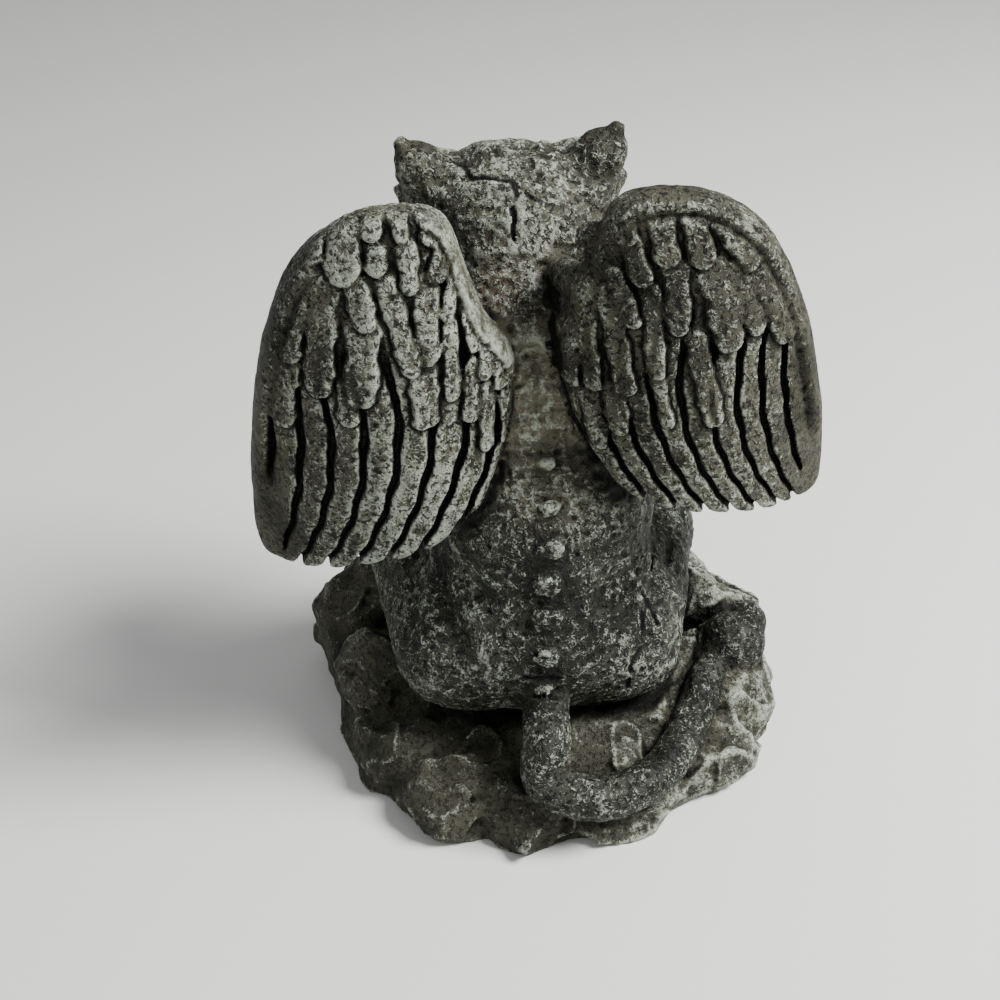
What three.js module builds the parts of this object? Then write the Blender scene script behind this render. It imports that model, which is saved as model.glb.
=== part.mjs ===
// A seated winged gargoyle with its tail curled round its side, cast in one piece with its rock base.
// Millimetres, +Z up. The figure looks towards -Y and its left hand is on the +X side.
// The origin is the middle of the bounding box, on the flat underside.
//
// The casting is one organic body, so it is modelled as clay is: lumps and limbs are pressed together
// into one distance field, the field is turned into triangles, and the triangles are thinned out where
// the surface is smooth. Pose and proportions are in hundredths of the figure's height, called shares.
import * as THREE from 'three';
import { edgeTable, triTable } from 'three/addons/objects/MarchingCubes.js';

// Driving dimensions
const figureHeight = 100; // from the seat on the rock up to the horn tips
const seatHeight = 15; // top of the rock where the figure sits, above the underside
const baseWidth = 91; // rock base, side to side
const baseDepth = 86; // rock base, front to back
const wingSpan = 101; // over both wings
const wingHeight = 67; // from the top of the left wing to its feather tips
const wingThickness = 5;
const featherRelief = 1.15; // step at the tip of a feather
const rimWidth = 3.4; // smooth band along the leading edge of a wing
const hornLength = 14;
const hornRadius = 6.2; // at the root of a horn
const tailDiameter = 8.2; // at the root of the tail
const spinePlate = 6.4; // widest of the plates down the back
const toeRadius = 2.6;
const clawLength = 4.5;

// Counts of what repeats
const leftLongFeathers = 10;
const rightLongFeathers = 12;
const spinePlates = 7;
const rimBoulders = 13;
const boulderFacets = 9;
const pointsPerBlock = 4;

// Fineness of the faceted surface
const cell = 1.15;
const triangleBudget = 9600;
const flatWithin = 0.05; // points this near the table lie on it

const share = figureHeight / 100;
const stone = new THREE.MeshStandardMaterial({ color: 0x4d5049, roughness: 0.93, metalness: 0 });

// Width of the fillet where one part of the casting meets another
const tailFillet = 1.2;
const wingFillet = 1.6;
const rockFillet = 1.4;
const boulderFillet = 0.9;

// Small mathematics

const clamp = (value, low, high) => Math.min(Math.max(value, low), high);
const mix = (a, b, t) => a + (b - a) * t;
const smoothstep = (low, high, value) => {
  const t = clamp((value - low) / (high - low), 0, 1);
  return t * t * (3 - 2 * t);
};

// Union of two distances, rounded over about the given width
const join = (a, b, width) => {
  const h = Math.max(width - Math.abs(a - b), 0) / width;
  return Math.min(a, b) - h * h * width * 0.25;
};
const cut = (a, b, width) => -join(-a, b, width);

// A repeatable number from -0.5 to 0.5 for each pair of indices, the unevenness of hand work
const uneven = (i, j) => {
  const s = Math.sin(i * 12.9898 + j * 78.233) * 43758.5453;
  return s - Math.floor(s) - 0.5;
};

// Lumps and limbs of clay. Each gives the distance from a point to its surface.

const lump = (at, radii, blend) => ({
  blend,
  distance: (x, y, z) => {
    const px = (x - at[0]) / radii[0];
    const py = (y - at[1]) / radii[1];
    const pz = (z - at[2]) / radii[2];
    const k0 = Math.hypot(px, py, pz);
    const k1 = Math.hypot(px / radii[0], py / radii[1], pz / radii[2]);
    return k1 > 0 ? (k0 * (k0 - 1)) / k1 : -Math.min(...radii);
  },
});

const limb = (from, to, fromRadius, toRadius, blend) => {
  const axis = [to[0] - from[0], to[1] - from[1], to[2] - from[2]];
  const length2 = axis[0] ** 2 + axis[1] ** 2 + axis[2] ** 2;
  return {
    blend,
    distance: (x, y, z) => {
      const dx = x - from[0];
      const dy = y - from[1];
      const dz = z - from[2];
      const t = clamp((dx * axis[0] + dy * axis[1] + dz * axis[2]) / length2, 0, 1);
      const reach = Math.hypot(dx - axis[0] * t, dy - axis[1] * t, dz - axis[2] * t);
      return reach - mix(fromRadius, toRadius, t);
    },
  };
};

const press = (parts, x, y, z) => {
  let d = 1e3;
  for (const part of parts) d = join(d, part.distance(x, y, z), part.blend);
  return d;
};

// Torso and legs, in shares above the seat. Limbs come in pairs, mirrored about x = 0.

const torso = [
  lump([0, 9, 16], [22.5, 20, 18.5], 1), // pelvis and rump
  lump([0, 4, 36], [20.5, 21.5, 20], 7), // belly and lower back
  lump([0, 0, 61], [21, 18.5, 18], 7), // rib cage
  limb([0, -1, 70], [0, -7, 84], 14, 12, 6), // neck
  lump([9, -13, 63], [10, 7, 9], 4), // breast muscles
  lump([0, -12, 42], [12, 7, 13], 4), // paunch
];
const legs = [
  limb([13.5, 12, 12], [22, -8, 20], 13.5, 9.5, 4), // thigh
  limb([21.5, -12, 20], [20, -22, 4], 8.2, 5.6, 3), // shin
  limb([20, -22, 3], [21.5, -33, 2.5], 5.6, 4.6, 3), // foot
  lump([23, -15, 25], [6.5, 5.5, 5], 3), // knee cap
];
const arms = [
  lump([20, -3, 68], [10, 10.5, 10], 4), // shoulder
  limb([22, -4, 64], [25.5, -10, 46], 8, 6.2, 4), // upper arm
  limb([25.5, -10, 46], [12.5, -26, 24], 6.6, 4.8, 3), // forearm
  lump([11.5, -28.5, 17], [5.2, 4.6, 6.5], 3), // hand
];

// Toes and fingers spread from one knuckle each, and end in a claw
const digits = (knuckle, aim, spread, count) => {
  const made = [];
  for (let i = 0; i < count; i += 1) {
    const side = i - (count - 1) / 2;
    const tip = [knuckle[0] + aim[0] + side * spread, knuckle[1] + aim[1], knuckle[2] + aim[2]];
    const start = [knuckle[0] + side * spread * 0.55, knuckle[1], knuckle[2]];
    const way = new THREE.Vector3(...tip).sub(new THREE.Vector3(...start)).normalize();
    const clawTip = [
      tip[0] + (way.x * clawLength) / share,
      tip[1] + (way.y * clawLength) / share,
      tip[2] - (0.7 * clawLength) / share,
    ];
    made.push(limb(start, tip, (1.15 * toeRadius) / share, toeRadius / share, 0.8));
    made.push(limb(tip, clawTip, (0.8 * toeRadius) / share, 0.7 / share, 0.5));
  }
  return made;
};
const toes = digits([21.5, -33, 2.6], [0.8, -5.5, -0.6], 4.6, 3);
const fingers = digits([11.2, -30, 12], [-0.4, -3, -6.5], 3.4, 3);

// Head: skull, muzzle, heavy brow, cheeks, small ears and short horns
const hornRoot = [12.4, -8, 91];
const hornMiddle = [hornRoot[0] + 3, hornRoot[1], hornRoot[2] + (0.34 * hornLength) / share];
const hornTip = [hornRoot[0] + 5.5, hornRoot[1] + 0.3, hornRoot[2] + (0.61 * hornLength) / share];
const head = [
  lump([0, -10, 85.5], [16.3, 15, 12.3], 5), // skull
  lump([0, -25, 79], [10, 9.5, 7.5], 4), // muzzle
  lump([0, -22, 72.5], [10.5, 9.5, 5.6], 3), // jaw
  lump([12, -17, 78], [5.5, 6.5, 6.5], 4), // cheek
  limb([2.5, -24.5, 87.5], [12.5, -19.5, 91.5], 3, 3.4, 2), // brow
  lump([0, -33.5, 81.5], [4, 3.2, 3], 1.5), // nose
  lump([3.3, -33, 80], [2, 2.4, 2], 1), // wing of the nose
  limb([15, -12, 86], [18.9, -13, 90], 3.4, 1.6, 2), // ear
];
const horns = [
  limb(hornRoot, hornMiddle, hornRadius / share, (0.68 * hornRadius) / share, 3),
  limb(hornMiddle, hornTip, (0.68 * hornRadius) / share, (0.26 * hornRadius) / share, 1),
];
const faceAdded = [
  lump([6.6, -25.5, 83.8], [3, 2.6, 2.5], 0.6), // eye
  limb([6, -31, 76.5], [5.8, -31.8, 73], 1.3, 0.6, 0.6), // fang
];
const faceCut = [
  lump([6.8, -28, 84.2], [4.2, 3, 3.4], 1.2), // eye socket
  limb([0, -33.5, 75.4], [9.5, -25, 76.6], 0.7, 0.9, 0.8), // mouth
  lump([1.9, -36, 80.2], [0.9, 1.6, 0.8], 0.6), // nostril
];

// The body sways a little from side to side on its way up to the head, so that the back isn't a
// ruled line
const headFrom = 85;
const sway = (z) => 1.3 * Math.cos((2 * Math.PI * (Math.min(z, headFrom) - 10)) / 75);

const figureClay = [...torso, ...legs, ...arms, ...toes, ...fingers, ...head, ...horns];
const figure = (x, y, z) => {
  const side = Math.abs(x - sway(z));
  let d = press(figureClay, side, y, z);
  for (const hollow of faceCut) d = cut(d, hollow.distance(side, y, z), hollow.blend);
  for (const added of faceAdded) d = join(d, added.distance(side, y, z), added.blend);
  return d;
};

// The plates down the spine sit on the back, wherever its surface is
const backAt = (z) => {
  let inside = 0;
  let outside = 60;
  for (let i = 0; i < 30; i += 1) {
    const y = (inside + outside) / 2;
    if (figure(sway(z), y, z) < 0) inside = y;
    else outside = y;
  }
  return inside;
};
const lowestPlate = 12;
const highestPlate = 52;
const spine = [];
for (let i = 0; i < spinePlates; i += 1) {
  const along = i / (spinePlates - 1);
  const z = mix(lowestPlate, highestPlate, along);
  const swell = 1 - 0.45 * Math.abs(along - 0.45) * 2;
  const radius = ((spinePlate / 2) * swell) / share;
  spine.push(lump([sway(z), backAt(z), z], [radius, 1.5 / share, 0.8 * radius], 0.5));
}

// The tail leaves the rump, lies on the rock just inside its rim and ends in a tuft by the figure's
// right knee. The middle line is in shares, with its height above the seat.
const tailInsideRim = 3; // from the rim of the rock to the tail's middle line, at the back
const tuftInsideRim = 8.5; // and at the side
const tailRear = (0.5 * baseDepth - tailInsideRim) / share;
const tuftOut = (0.5 * baseWidth - tuftInsideRim) / share;
const tailLine = new THREE.CatmullRomCurve3(
  [
    [1, 24, 8],
    [1.8, tailRear - 5, 5],
    [2, tailRear - 2.5, -2],
    [-6.8, tailRear, -4.5],
    [-15, tailRear - 3, -4.5],
    [-22, tailRear - 10.5, -4],
    [10 - tuftOut, 19.5, -2.5],
    [5.5 - tuftOut, 11, 0],
    [-tuftOut, 5, 2],
  ].map((p) => new THREE.Vector3(...p)),
);
const tailRings = tailLine.getPoints(24);
const tail = [];
for (let i = 0; i + 1 < tailRings.length; i += 1) {
  const along = i / (tailRings.length - 2);
  const radius = (tailDiameter / 2 / share) * mix(1, 0.76, along);
  tail.push(limb(tailRings[i].toArray(), tailRings[i + 1].toArray(), radius, radius, 1));
}
tail.push(lump([0.5 - tuftOut, 6, 2.5], [6, 6.5, 5.2], 1.5));
tail.push(lump([-2.5 - tuftOut, 2, 4], [4, 4.5, 4], 1.2));

// Wings. A wing is a bowed slab with its outline in the x-z plane: "out" is millimetres from the
// middle plane of the figure, "down" is millimetres below the top of the wing.

const halfSpan = wingSpan / 2;
const wingTopZ = seatHeight + 99.5 * share;
const wingRearY = 27 * share; // the furthest back that a wing reaches
const ridgeOut = 0.47 * halfSpan; // where it is furthest back
const sweep = 12; // how far its outer edge comes forward of that
const droop = 3; // how far its top and tips come forward
const rightWingDrop = 0.915; // the right wing is a little shorter than the left
const wingEdgeRound = 2.2;

const outlineCorners = [
  [0.19, 0.2],
  [0.15, 0.3],
  [0.06, 0.42],
  [0.09, 0.57],
  [0.2, 0.79],
  [0.36, 0.88],
  [0.6, 0.93],
  [0.85, 0.985],
  [0.985, 0.985],
  [0.99, 0.8],
  [0.95, 0.6],
  [0.86, 0.33],
  [0.7, 0.1],
  [0.48, 0.004],
  [0.27, 0.035],
];
const wingOutline = new THREE.CatmullRomCurve3(
  outlineCorners.map(([out, down]) => new THREE.Vector3(out * halfSpan, down * wingHeight, 0)),
  true,
).getPoints(90);

// Distance in the plane to the outline, negative inside it
const outlineDistance = (out, down) => {
  let nearest = Infinity;
  let inside = false;
  for (let i = 0; i + 1 < wingOutline.length; i += 1) {
    const a = wingOutline[i];
    const b = wingOutline[i + 1];
    const ex = b.x - a.x;
    const ey = b.y - a.y;
    const t = clamp(((out - a.x) * ex + (down - a.y) * ey) / (ex * ex + ey * ey), 0, 1);
    nearest = Math.min(nearest, Math.hypot(out - a.x - ex * t, down - a.y - ey * t));
    if (a.y > down !== b.y > down && out < a.x + ((down - a.y) / ey) * ex) inside = !inside;
  }
  return inside ? -nearest : nearest;
};

// Feathers fan out from the wing's root. A feather's line is known by where it crosses the middle of
// the wing, from 0 at the inner edge to 1 at the outer one.
const fanMiddle = 0.72 * wingHeight;
const featherAcross = (out, down) => {
  const below = (down - fanMiddle) / wingHeight;
  let across = out / halfSpan;
  for (let i = 0; i < 4; i += 1) {
    const lean = 0.15 + 0.4 * (1 - across);
    const bend = 0.75 * clamp((1 - across) * 3, 0, 1);
    across = out / halfSpan - (lean * below + bend * below * below) * (wingHeight / halfSpan);
  }
  return across;
};

// Short feathers over the roots of the long ones, from the top row down: where each starts, where its
// tip is and how wide it is, in hundredths of the half span across and of the wing's height down
const leftCoverts = [
  [54, 0, 54, 2, 5], [64, 4, 67, 11, 8], [46, 0, 48, 6, 7], [39, 1, 38, 7, 6],
  [29, 2, 29, 5, 10], [28, 5, 29, 9, 11], [55, 4, 58, 16, 12], [46, 8, 47, 14, 7],
  [37, 8, 37, 19, 7], [26, 10, 30, 17, 8], [70, 13, 78, 36, 10], [63, 16, 69, 44, 11],
  [53, 16, 51, 27, 9], [44, 16, 38, 39, 8], [32, 17, 34, 37, 9], [24, 16, 27, 27, 5],
  [20, 24, 19, 36, 6], [78, 35, 83, 54, 11], [52, 25, 56, 46, 12], [35, 37, 36, 53, 10],
  [26, 28, 27, 47, 6], [20, 39, 22, 54, 6], [16, 32, 16, 44, 5], [12, 36, 11, 48, 6],
  [59, 41, 60, 51, 8], [16, 46, 17, 63, 6], [10, 47, 11, 63, 5],
];
const rightCoverts = [
  [24, 1, 26, 6, 9], [30, -2, 32, 2, 7], [36, 1, 37, 6, 6], [43, 0, 46, 5, 9], [50, 0, 53, 5, 7],
  [39, 7, 41, 18, 9], [48, 4, 52, 19, 9], [55, 6, 68, 21, 7], [60, 7, 71, 19, 5],
  [29, 6, 28, 13, 7], [30, 12, 34, 23, 8], [43, 18, 44, 36, 9], [55, 20, 61, 42, 12],
  [61, 20, 70, 39, 8], [70, 22, 81, 44, 10], [25, 20, 31, 34, 7], [36, 24, 37, 48, 7],
  [23, 25, 28, 53, 8], [16, 32, 18, 53, 7], [12, 36, 11, 53, 6], [16, 53, 20, 70, 7],
  [24, 52, 26, 65, 8], [37, 47, 41, 62, 5], [49, 37, 56, 63, 8],
];

// The rounded cross-section of the long feathers, 1 along the middle of each and 0 in the grooves
const longFeatherCrown = (out, down, count) => {
  const place = featherAcross(out, down) * count;
  const off = 2 * (place - Math.floor(place)) - 1;
  const bare = smoothstep(0.94, 0.88, out / halfSpan);
  return 1 - bare * Math.abs(off) ** 2.8;
};

// A smooth band follows the outer edge two thirds of the way down, and the top from a given place on
const rimWeight = (out, down, topFrom) => {
  const outside = smoothstep(0.35, 0.6, out / halfSpan - 0.35 * (down / wingHeight));
  const along = smoothstep(topFrom, topFrom + 0.1, out / halfSpan);
  const top = smoothstep(0.16, 0.08, down / wingHeight) * along;
  return Math.max(top, outside * along * smoothstep(0.85, 0.7, down / wingHeight));
};

// How far the feathers stand above the wing's bare face. The face swells towards the shoulder, and
// the long feathers come out from under the short ones part of the way down.
const groundSwell = 0.9;
const longFeathersFrom = 0.3;
const featherHeight = (out, down, edge, plumage) => {
  const share = down / wingHeight;
  const shown = smoothstep(longFeathersFrom, longFeathersFrom + 0.18, share + 0.1 * (1 - out / halfSpan));
  const crown = mix(0.6, longFeatherCrown(out, down, plumage.longFeathers), shown);
  const ground = featherRelief * (0.75 * crown - 0.45 + groundSwell * smoothstep(0.5, 0.05, share));
  let lift = 0;
  for (const [rootOut, rootDown, tipOut, tipDown, width] of plumage.coverts) {
    const tip = new THREE.Vector2(tipOut * halfSpan, tipDown * wingHeight).divideScalar(100);
    const root = new THREE.Vector2(rootOut * halfSpan, rootDown * wingHeight).divideScalar(100);
    const length = root.distanceTo(tip);
    const way = tip.clone().sub(root).divideScalar(length);
    const half = (0.5 * width * halfSpan) / 100;
    const dx = out - tip.x;
    const dy = down - tip.y;
    const up = -(dx * way.x + dy * way.y);
    if (up < 0 || up > length + half) continue;
    const across = Math.abs(dx * way.y - dy * way.x) / half;
    const pastEnd = Math.max(1 - up / half, (up - length) / half, 0);
    const reach = across * across + pastEnd * pastEnd;
    if (reach > 1) continue;
    const slope = 1 - 0.6 * (up / (length + half));
    lift = Math.max(lift, slope * (1 - 0.4 * reach ** 3));
  }
  const height = Math.max(ground, ground + featherRelief * (1.1 * lift - 0.75 * shown * (crown - 0.6) * lift));
  const rim = featherRelief * (1.5 - 0.9 * ((edge + 0.5 * rimWidth) / (0.5 * rimWidth)) ** 2);
  const inward = smoothstep(-rimWidth - 0.6, -rimWidth + 0.4, edge);
  return mix(height, Math.max(rim, -0.4), rimWeight(out, down, plumage.rimFrom) * inward);
};

// The outline is notched between the tips of the long feathers
const notchDepth = 1.5;
const notchedEdge = (out, down, edge, plumage) => {
  const low = smoothstep(0.8, 0.9, down / wingHeight + 0.14 * (1 - out / halfSpan));
  return edge + notchDepth * low * (1 - longFeatherCrown(out, down, plumage.longFeathers));
};

// Both fields are worked out once on a plane grid, as every height above the plane shares them
const gridStep = 0.5;
const gridMargin = 5;
const gridColumns = Math.ceil((halfSpan + 2 * gridMargin) / gridStep) + 1;
const gridRows = Math.ceil((wingHeight + 2 * gridMargin) / gridStep) + 1;
const drawWing = (plumage) => {
  const edges = new Float64Array(gridColumns * gridRows);
  const heights = new Float64Array(gridColumns * gridRows);
  for (let row = 0; row < gridRows; row += 1) {
    for (let column = 0; column < gridColumns; column += 1) {
      const out = column * gridStep - gridMargin;
      const down = row * gridStep - gridMargin;
      const edge = outlineDistance(out, down);
      edges[row * gridColumns + column] = notchedEdge(out, down, edge, plumage);
      heights[row * gridColumns + column] = edge < 3 ? featherHeight(out, down, edge, plumage) : 0;
    }
  }
  return { edges, heights };
};
const leftWing = drawWing({ coverts: leftCoverts, longFeathers: leftLongFeathers, rimFrom: 0.6 });
const rightWing = drawWing({ coverts: rightCoverts, longFeathers: rightLongFeathers, rimFrom: 0.2 });
const readGrid = (grid, out, down) => {
  const gx = clamp((out + gridMargin) / gridStep, 0, gridColumns - 1.001);
  const gy = clamp((down + gridMargin) / gridStep, 0, gridRows - 1.001);
  const column = Math.floor(gx);
  const row = Math.floor(gy);
  const at = row * gridColumns + column;
  const upper = mix(grid[at], grid[at + 1], gx - column);
  const lower = mix(grid[at + gridColumns], grid[at + gridColumns + 1], gx - column);
  return mix(upper, lower, gy - row);
};

const wing = (grids, out, y, z, stretch) => {
  const down = (wingTopZ - z) / stretch;
  const beyond = Math.max(-gridMargin - out, out - halfSpan - gridMargin, -gridMargin - down,
    down - wingHeight - gridMargin, 0);
  const fromRidge = (out - ridgeOut) / ridgeOut;
  const fromMiddle = (down - 0.55 * wingHeight) / (0.52 * wingHeight);
  const rear = wingRearY - sweep * fromRidge * fromRidge - droop * fromMiddle * fromMiddle;
  const steep = Math.hypot(1, (2 * sweep * fromRidge) / ridgeOut, (4 * droop * fromMiddle) / wingHeight);
  const behind = (y - rear) / steep;
  if (beyond > 0) return beyond + 0.5 * gridMargin;
  if (behind > gridMargin || behind < -wingThickness - gridMargin) {
    return Math.max(behind, -wingThickness - behind) - 0.6 * gridMargin;
  }
  const edge = readGrid(grids.edges, out, down);
  const height = readGrid(grids.heights, out, down);
  const rearSide = behind - height;
  const frontSide = -behind - wingThickness - 0.35 * height;
  return cut(Math.max(rearSide, frontSide), -edge, wingEdgeRound);
};

// Rock base: a low mound with boulders round its edge. It is low behind, where the tail crosses it,
// and highest beside the figure. Each boulder is a lump trimmed by flat chisel cuts.

const goldenAngle = Math.PI * (3 - Math.sqrt(5)); // spreads the cuts evenly over a boulder
const boulders = [];
const makeBoulder = (at, radii, seed) => {
  const facets = [];
  for (let i = 0; i < boulderFacets; i += 1) {
    const height = 1 - (1.7 * (i + 0.5)) / boulderFacets;
    const turn = goldenAngle * i + 2 * Math.PI * uneven(seed, 3);
    const ring = Math.sqrt(Math.max(1 - height * height, 0));
    facets.push({
      way: new THREE.Vector3(ring * Math.cos(turn), ring * Math.sin(turn), height),
      reach: 0.86 + 0.2 * uneven(seed, i + 20),
    });
  }
  boulders.push({ at, radii, facets, smallest: Math.min(...radii) });
};
// The outline of the base is rounder behind than in front, drawn in a little on the left, and the
// rocks before that stand higher and further out
const waistAngle = 0.15;
const waistWidth = 0.45;
const waistDepth = 0.12;
const lobeAngle = -0.5;
const lobeWidth = 0.35;
const lobeReach = 0.09;
const lobeRise = 0.22;
const bellAt = (angle, middle, width) => {
  const off = Math.atan2(Math.sin(angle - middle), Math.cos(angle - middle));
  return Math.exp(-((off / width) ** 2));
};
const rimReach = (angle) => {
  const power = Math.sin(angle) > 0 ? 2 : 2.6;
  const across = Math.abs(Math.cos(angle) / (0.5 * baseWidth)) ** power;
  const along = Math.abs(Math.sin(angle) / (0.5 * baseDepth)) ** power;
  const waist = waistDepth * bellAt(angle, waistAngle, waistWidth);
  return (across + along) ** (-1 / power) * (1 - waist + lobeReach * bellAt(angle, lobeAngle, lobeWidth));
};
const boulderRadius = 12.5;
for (let i = 0; i < rimBoulders; i += 1) {
  const angle = ((i + 0.35 * uneven(i, 1)) / rimBoulders) * 2 * Math.PI;
  const rearward = Math.max(Math.sin(angle), 0);
  const beside = Math.abs(Math.cos(angle)) * (1 - rearward);
  const lobe = lobeRise * bellAt(angle, lobeAngle, lobeWidth);
  const height = seatHeight * (1.0 - 0.28 * rearward + 0.45 * beside ** 2 + lobe + 0.12 * uneven(i, 2));
  const radius = boulderRadius + 3 * uneven(i, 3);
  const reach = rimReach(angle) - radius;
  const at = [reach * Math.cos(angle), reach * Math.sin(angle), 0.25 * height];
  makeBoulder(at, [radius, radius, 0.8 * height], i);
}
const mound = lump([0, -1, 0], [0.45 * baseWidth, 0.46 * baseDepth, 1.15 * seatHeight], 2);

const rock = (x, y, z) => {
  let d = mound.distance(x, y, z);
  for (const { at, radii, facets, smallest } of boulders) {
    const px = (x - at[0]) / radii[0];
    const py = (y - at[1]) / radii[1];
    const pz = (z - at[2]) / radii[2];
    const reach = Math.hypot(px, py, pz);
    if ((reach - 1) * smallest > d + 1) continue;
    let trimmed = reach - 1;
    for (const { way, reach: limit } of facets) {
      trimmed = Math.max(trimmed, px * way.x + py * way.y + pz * way.z - limit);
    }
    d = join(d, trimmed * smallest, boulderFillet);
  }
  return d;
};

// The whole casting, in millimetres
const casting = (x, y, z) => {
  const sx = x / share;
  const sy = y / share;
  const sz = (z - seatHeight) / share;
  let d = figure(sx, sy, sz);
  for (const plate of spine) d = join(d, plate.distance(sx, sy, sz), plate.blend);
  d = join(d, press(tail, sx, sy, sz), tailFillet);
  d *= share;
  d = join(d, wing(leftWing, x, y, z, 1), wingFillet);
  d = join(d, wing(rightWing, -x, y, z, rightWingDrop), wingFillet);
  d = join(d, rock(x, y, z), rockFillet);
  return Math.max(d, -z);
};

// Turning the field into triangles

const low = [-0.5 * Math.max(baseWidth, wingSpan) - 4, -0.5 * baseDepth - 6, -1.5 * cell];
const high = [-low[0], 0.5 * baseDepth + 8, wingTopZ + 8 * share];
const counts = low.map((start, axis) => Math.ceil((high[axis] - start) / cell) + 1);

// A block of grid points far from the surface takes the one value at its middle
const farEnough = 1.9 * pointsPerBlock * cell;
const sampleField = () => {
  const [nx, ny, nz] = counts;
  const values = new Float32Array(nx * ny * nz);
  const at = (steps, axis) => low[axis] + steps * cell;
  for (let k0 = 0; k0 < nz; k0 += pointsPerBlock) {
    for (let j0 = 0; j0 < ny; j0 += pointsPerBlock) {
      for (let i0 = 0; i0 < nx; i0 += pointsPerBlock) {
        const half = pointsPerBlock / 2;
        const middle = casting(at(i0 + half, 0), at(j0 + half, 1), at(k0 + half, 2));
        const far = Math.abs(middle) > farEnough;
        for (let k = k0; k < Math.min(k0 + pointsPerBlock, nz); k += 1) {
          for (let j = j0; j < Math.min(j0 + pointsPerBlock, ny); j += 1) {
            for (let i = i0; i < Math.min(i0 + pointsPerBlock, nx); i += 1) {
              const d = far ? middle : casting(at(i, 0), at(j, 1), at(k, 2));
              values[i + nx * (j + ny * k)] = Math.abs(d) < 1e-3 ? 1e-3 : d;
            }
          }
        }
      }
    }
  }
  return values;
};

// Corners of a grid cube, and the two corners that each of its edges joins
const cubeCorners = [
  [0, 0, 0], [1, 0, 0], [1, 1, 0], [0, 1, 0], [0, 0, 1], [1, 0, 1], [1, 1, 1], [0, 1, 1],
];
const cubeEdges = [
  [0, 1], [1, 2], [3, 2], [0, 3], [4, 5], [5, 6], [7, 6], [4, 7], [0, 4], [1, 5], [2, 6], [3, 7],
];

const polygonise = (values) => {
  const [nx, ny, nz] = counts;
  const corner = cubeCorners.map(([i, j, k]) => i + j * nx + k * nx * ny);
  const axisOf = cubeEdges.map(([a, b]) => cubeCorners[b].findIndex((c, axis) => c !== cubeCorners[a][axis]));
  const positions = [];
  const triangles = [];
  const known = new Map();
  const edgeVertex = (base, edge) => {
    const a = base + corner[cubeEdges[edge][0]];
    const axis = axisOf[edge];
    const key = a * 3 + axis;
    if (known.has(key)) return known.get(key);
    const b = base + corner[cubeEdges[edge][1]];
    const t = clamp(values[a] / (values[a] - values[b]), 0.04, 0.96);
    const place = [a % nx, Math.floor(a / nx) % ny, Math.floor(a / (nx * ny))];
    place[axis] += t;
    const index = positions.length / 3;
    positions.push(...place.map((steps, i) => low[i] + steps * cell));
    known.set(key, index);
    return index;
  };
  for (let k = 0; k + 1 < nz; k += 1) {
    for (let j = 0; j + 1 < ny; j += 1) {
      for (let i = 0; i + 1 < nx; i += 1) {
        const base = i + j * nx + k * nx * ny;
        let pattern = 0;
        for (let c = 0; c < 8; c += 1) if (values[base + corner[c]] < 0) pattern |= 1 << c;
        if (!edgeTable[pattern]) continue;
        for (let n = pattern * 16; triTable[n] !== -1; n += 3) {
          triangles.push(
            edgeVertex(base, triTable[n]),
            edgeVertex(base, triTable[n + 2]),
            edgeVertex(base, triTable[n + 1]),
          );
        }
      }
    }
  }
  return { positions: new Float32Array(positions), triangles: new Uint32Array(triangles) };
};

// A pocket closed in between two lumps would be a hollow that no caster could make, so only the
// outer skin is kept: the connected piece with the most triangles
const outerSkin = ({ positions, triangles }) => {
  const parent = Int32Array.from({ length: positions.length / 3 }, (_, i) => i);
  const rootOf = (i) => {
    let r = i;
    while (parent[r] !== r) {
      parent[r] = parent[parent[r]];
      r = parent[r];
    }
    return r;
  };
  for (let i = 0; i < triangles.length; i += 3) {
    parent[rootOf(triangles[i])] = rootOf(triangles[i + 1]);
    parent[rootOf(triangles[i + 1])] = rootOf(triangles[i + 2]);
  }
  const sizes = new Map();
  for (let i = 0; i < triangles.length; i += 3) {
    const r = rootOf(triangles[i]);
    sizes.set(r, (sizes.get(r) ?? 0) + 1);
  }
  const largest = [...sizes.entries()].sort((a, b) => b[1] - a[1])[0][0];
  const kept = [];
  for (let i = 0; i < triangles.length; i += 3) {
    if (rootOf(triangles[i]) === largest) kept.push(triangles[i], triangles[i + 1], triangles[i + 2]);
  }
  return { positions, triangles: new Uint32Array(kept) };
};

// The underside is flat, as the casting was filed
const flattenUnderside = ({ positions, triangles }) => {
  for (let i = 2; i < positions.length; i += 3) {
    if (positions[i] < 0.3 * cell) positions[i] = 0;
  }
  return { positions, triangles };
};

// Thinning. Short edges are collapsed one by one, the one that moves the surface least first. Each
// vertex carries the summed squared distance to the planes of the faces it stands for, as the ten
// numbers of a symmetric 4 by 4 matrix, and a new vertex goes where that sum is least.

const stay = 0.004; // how much a vertex prefers its own place over sliding along a flat face
const undersideHold = 30; // faces of the underside count more, which keeps it flat

const addPlane = (sums, at, nx, ny, nz, d, weight) => {
  const terms = [nx * nx, nx * ny, nx * nz, ny * ny, ny * nz, nz * nz, nx * d, ny * d, nz * d, d * d];
  for (let i = 0; i < 10; i += 1) sums[at + i] += weight * terms[i];
};

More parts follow.
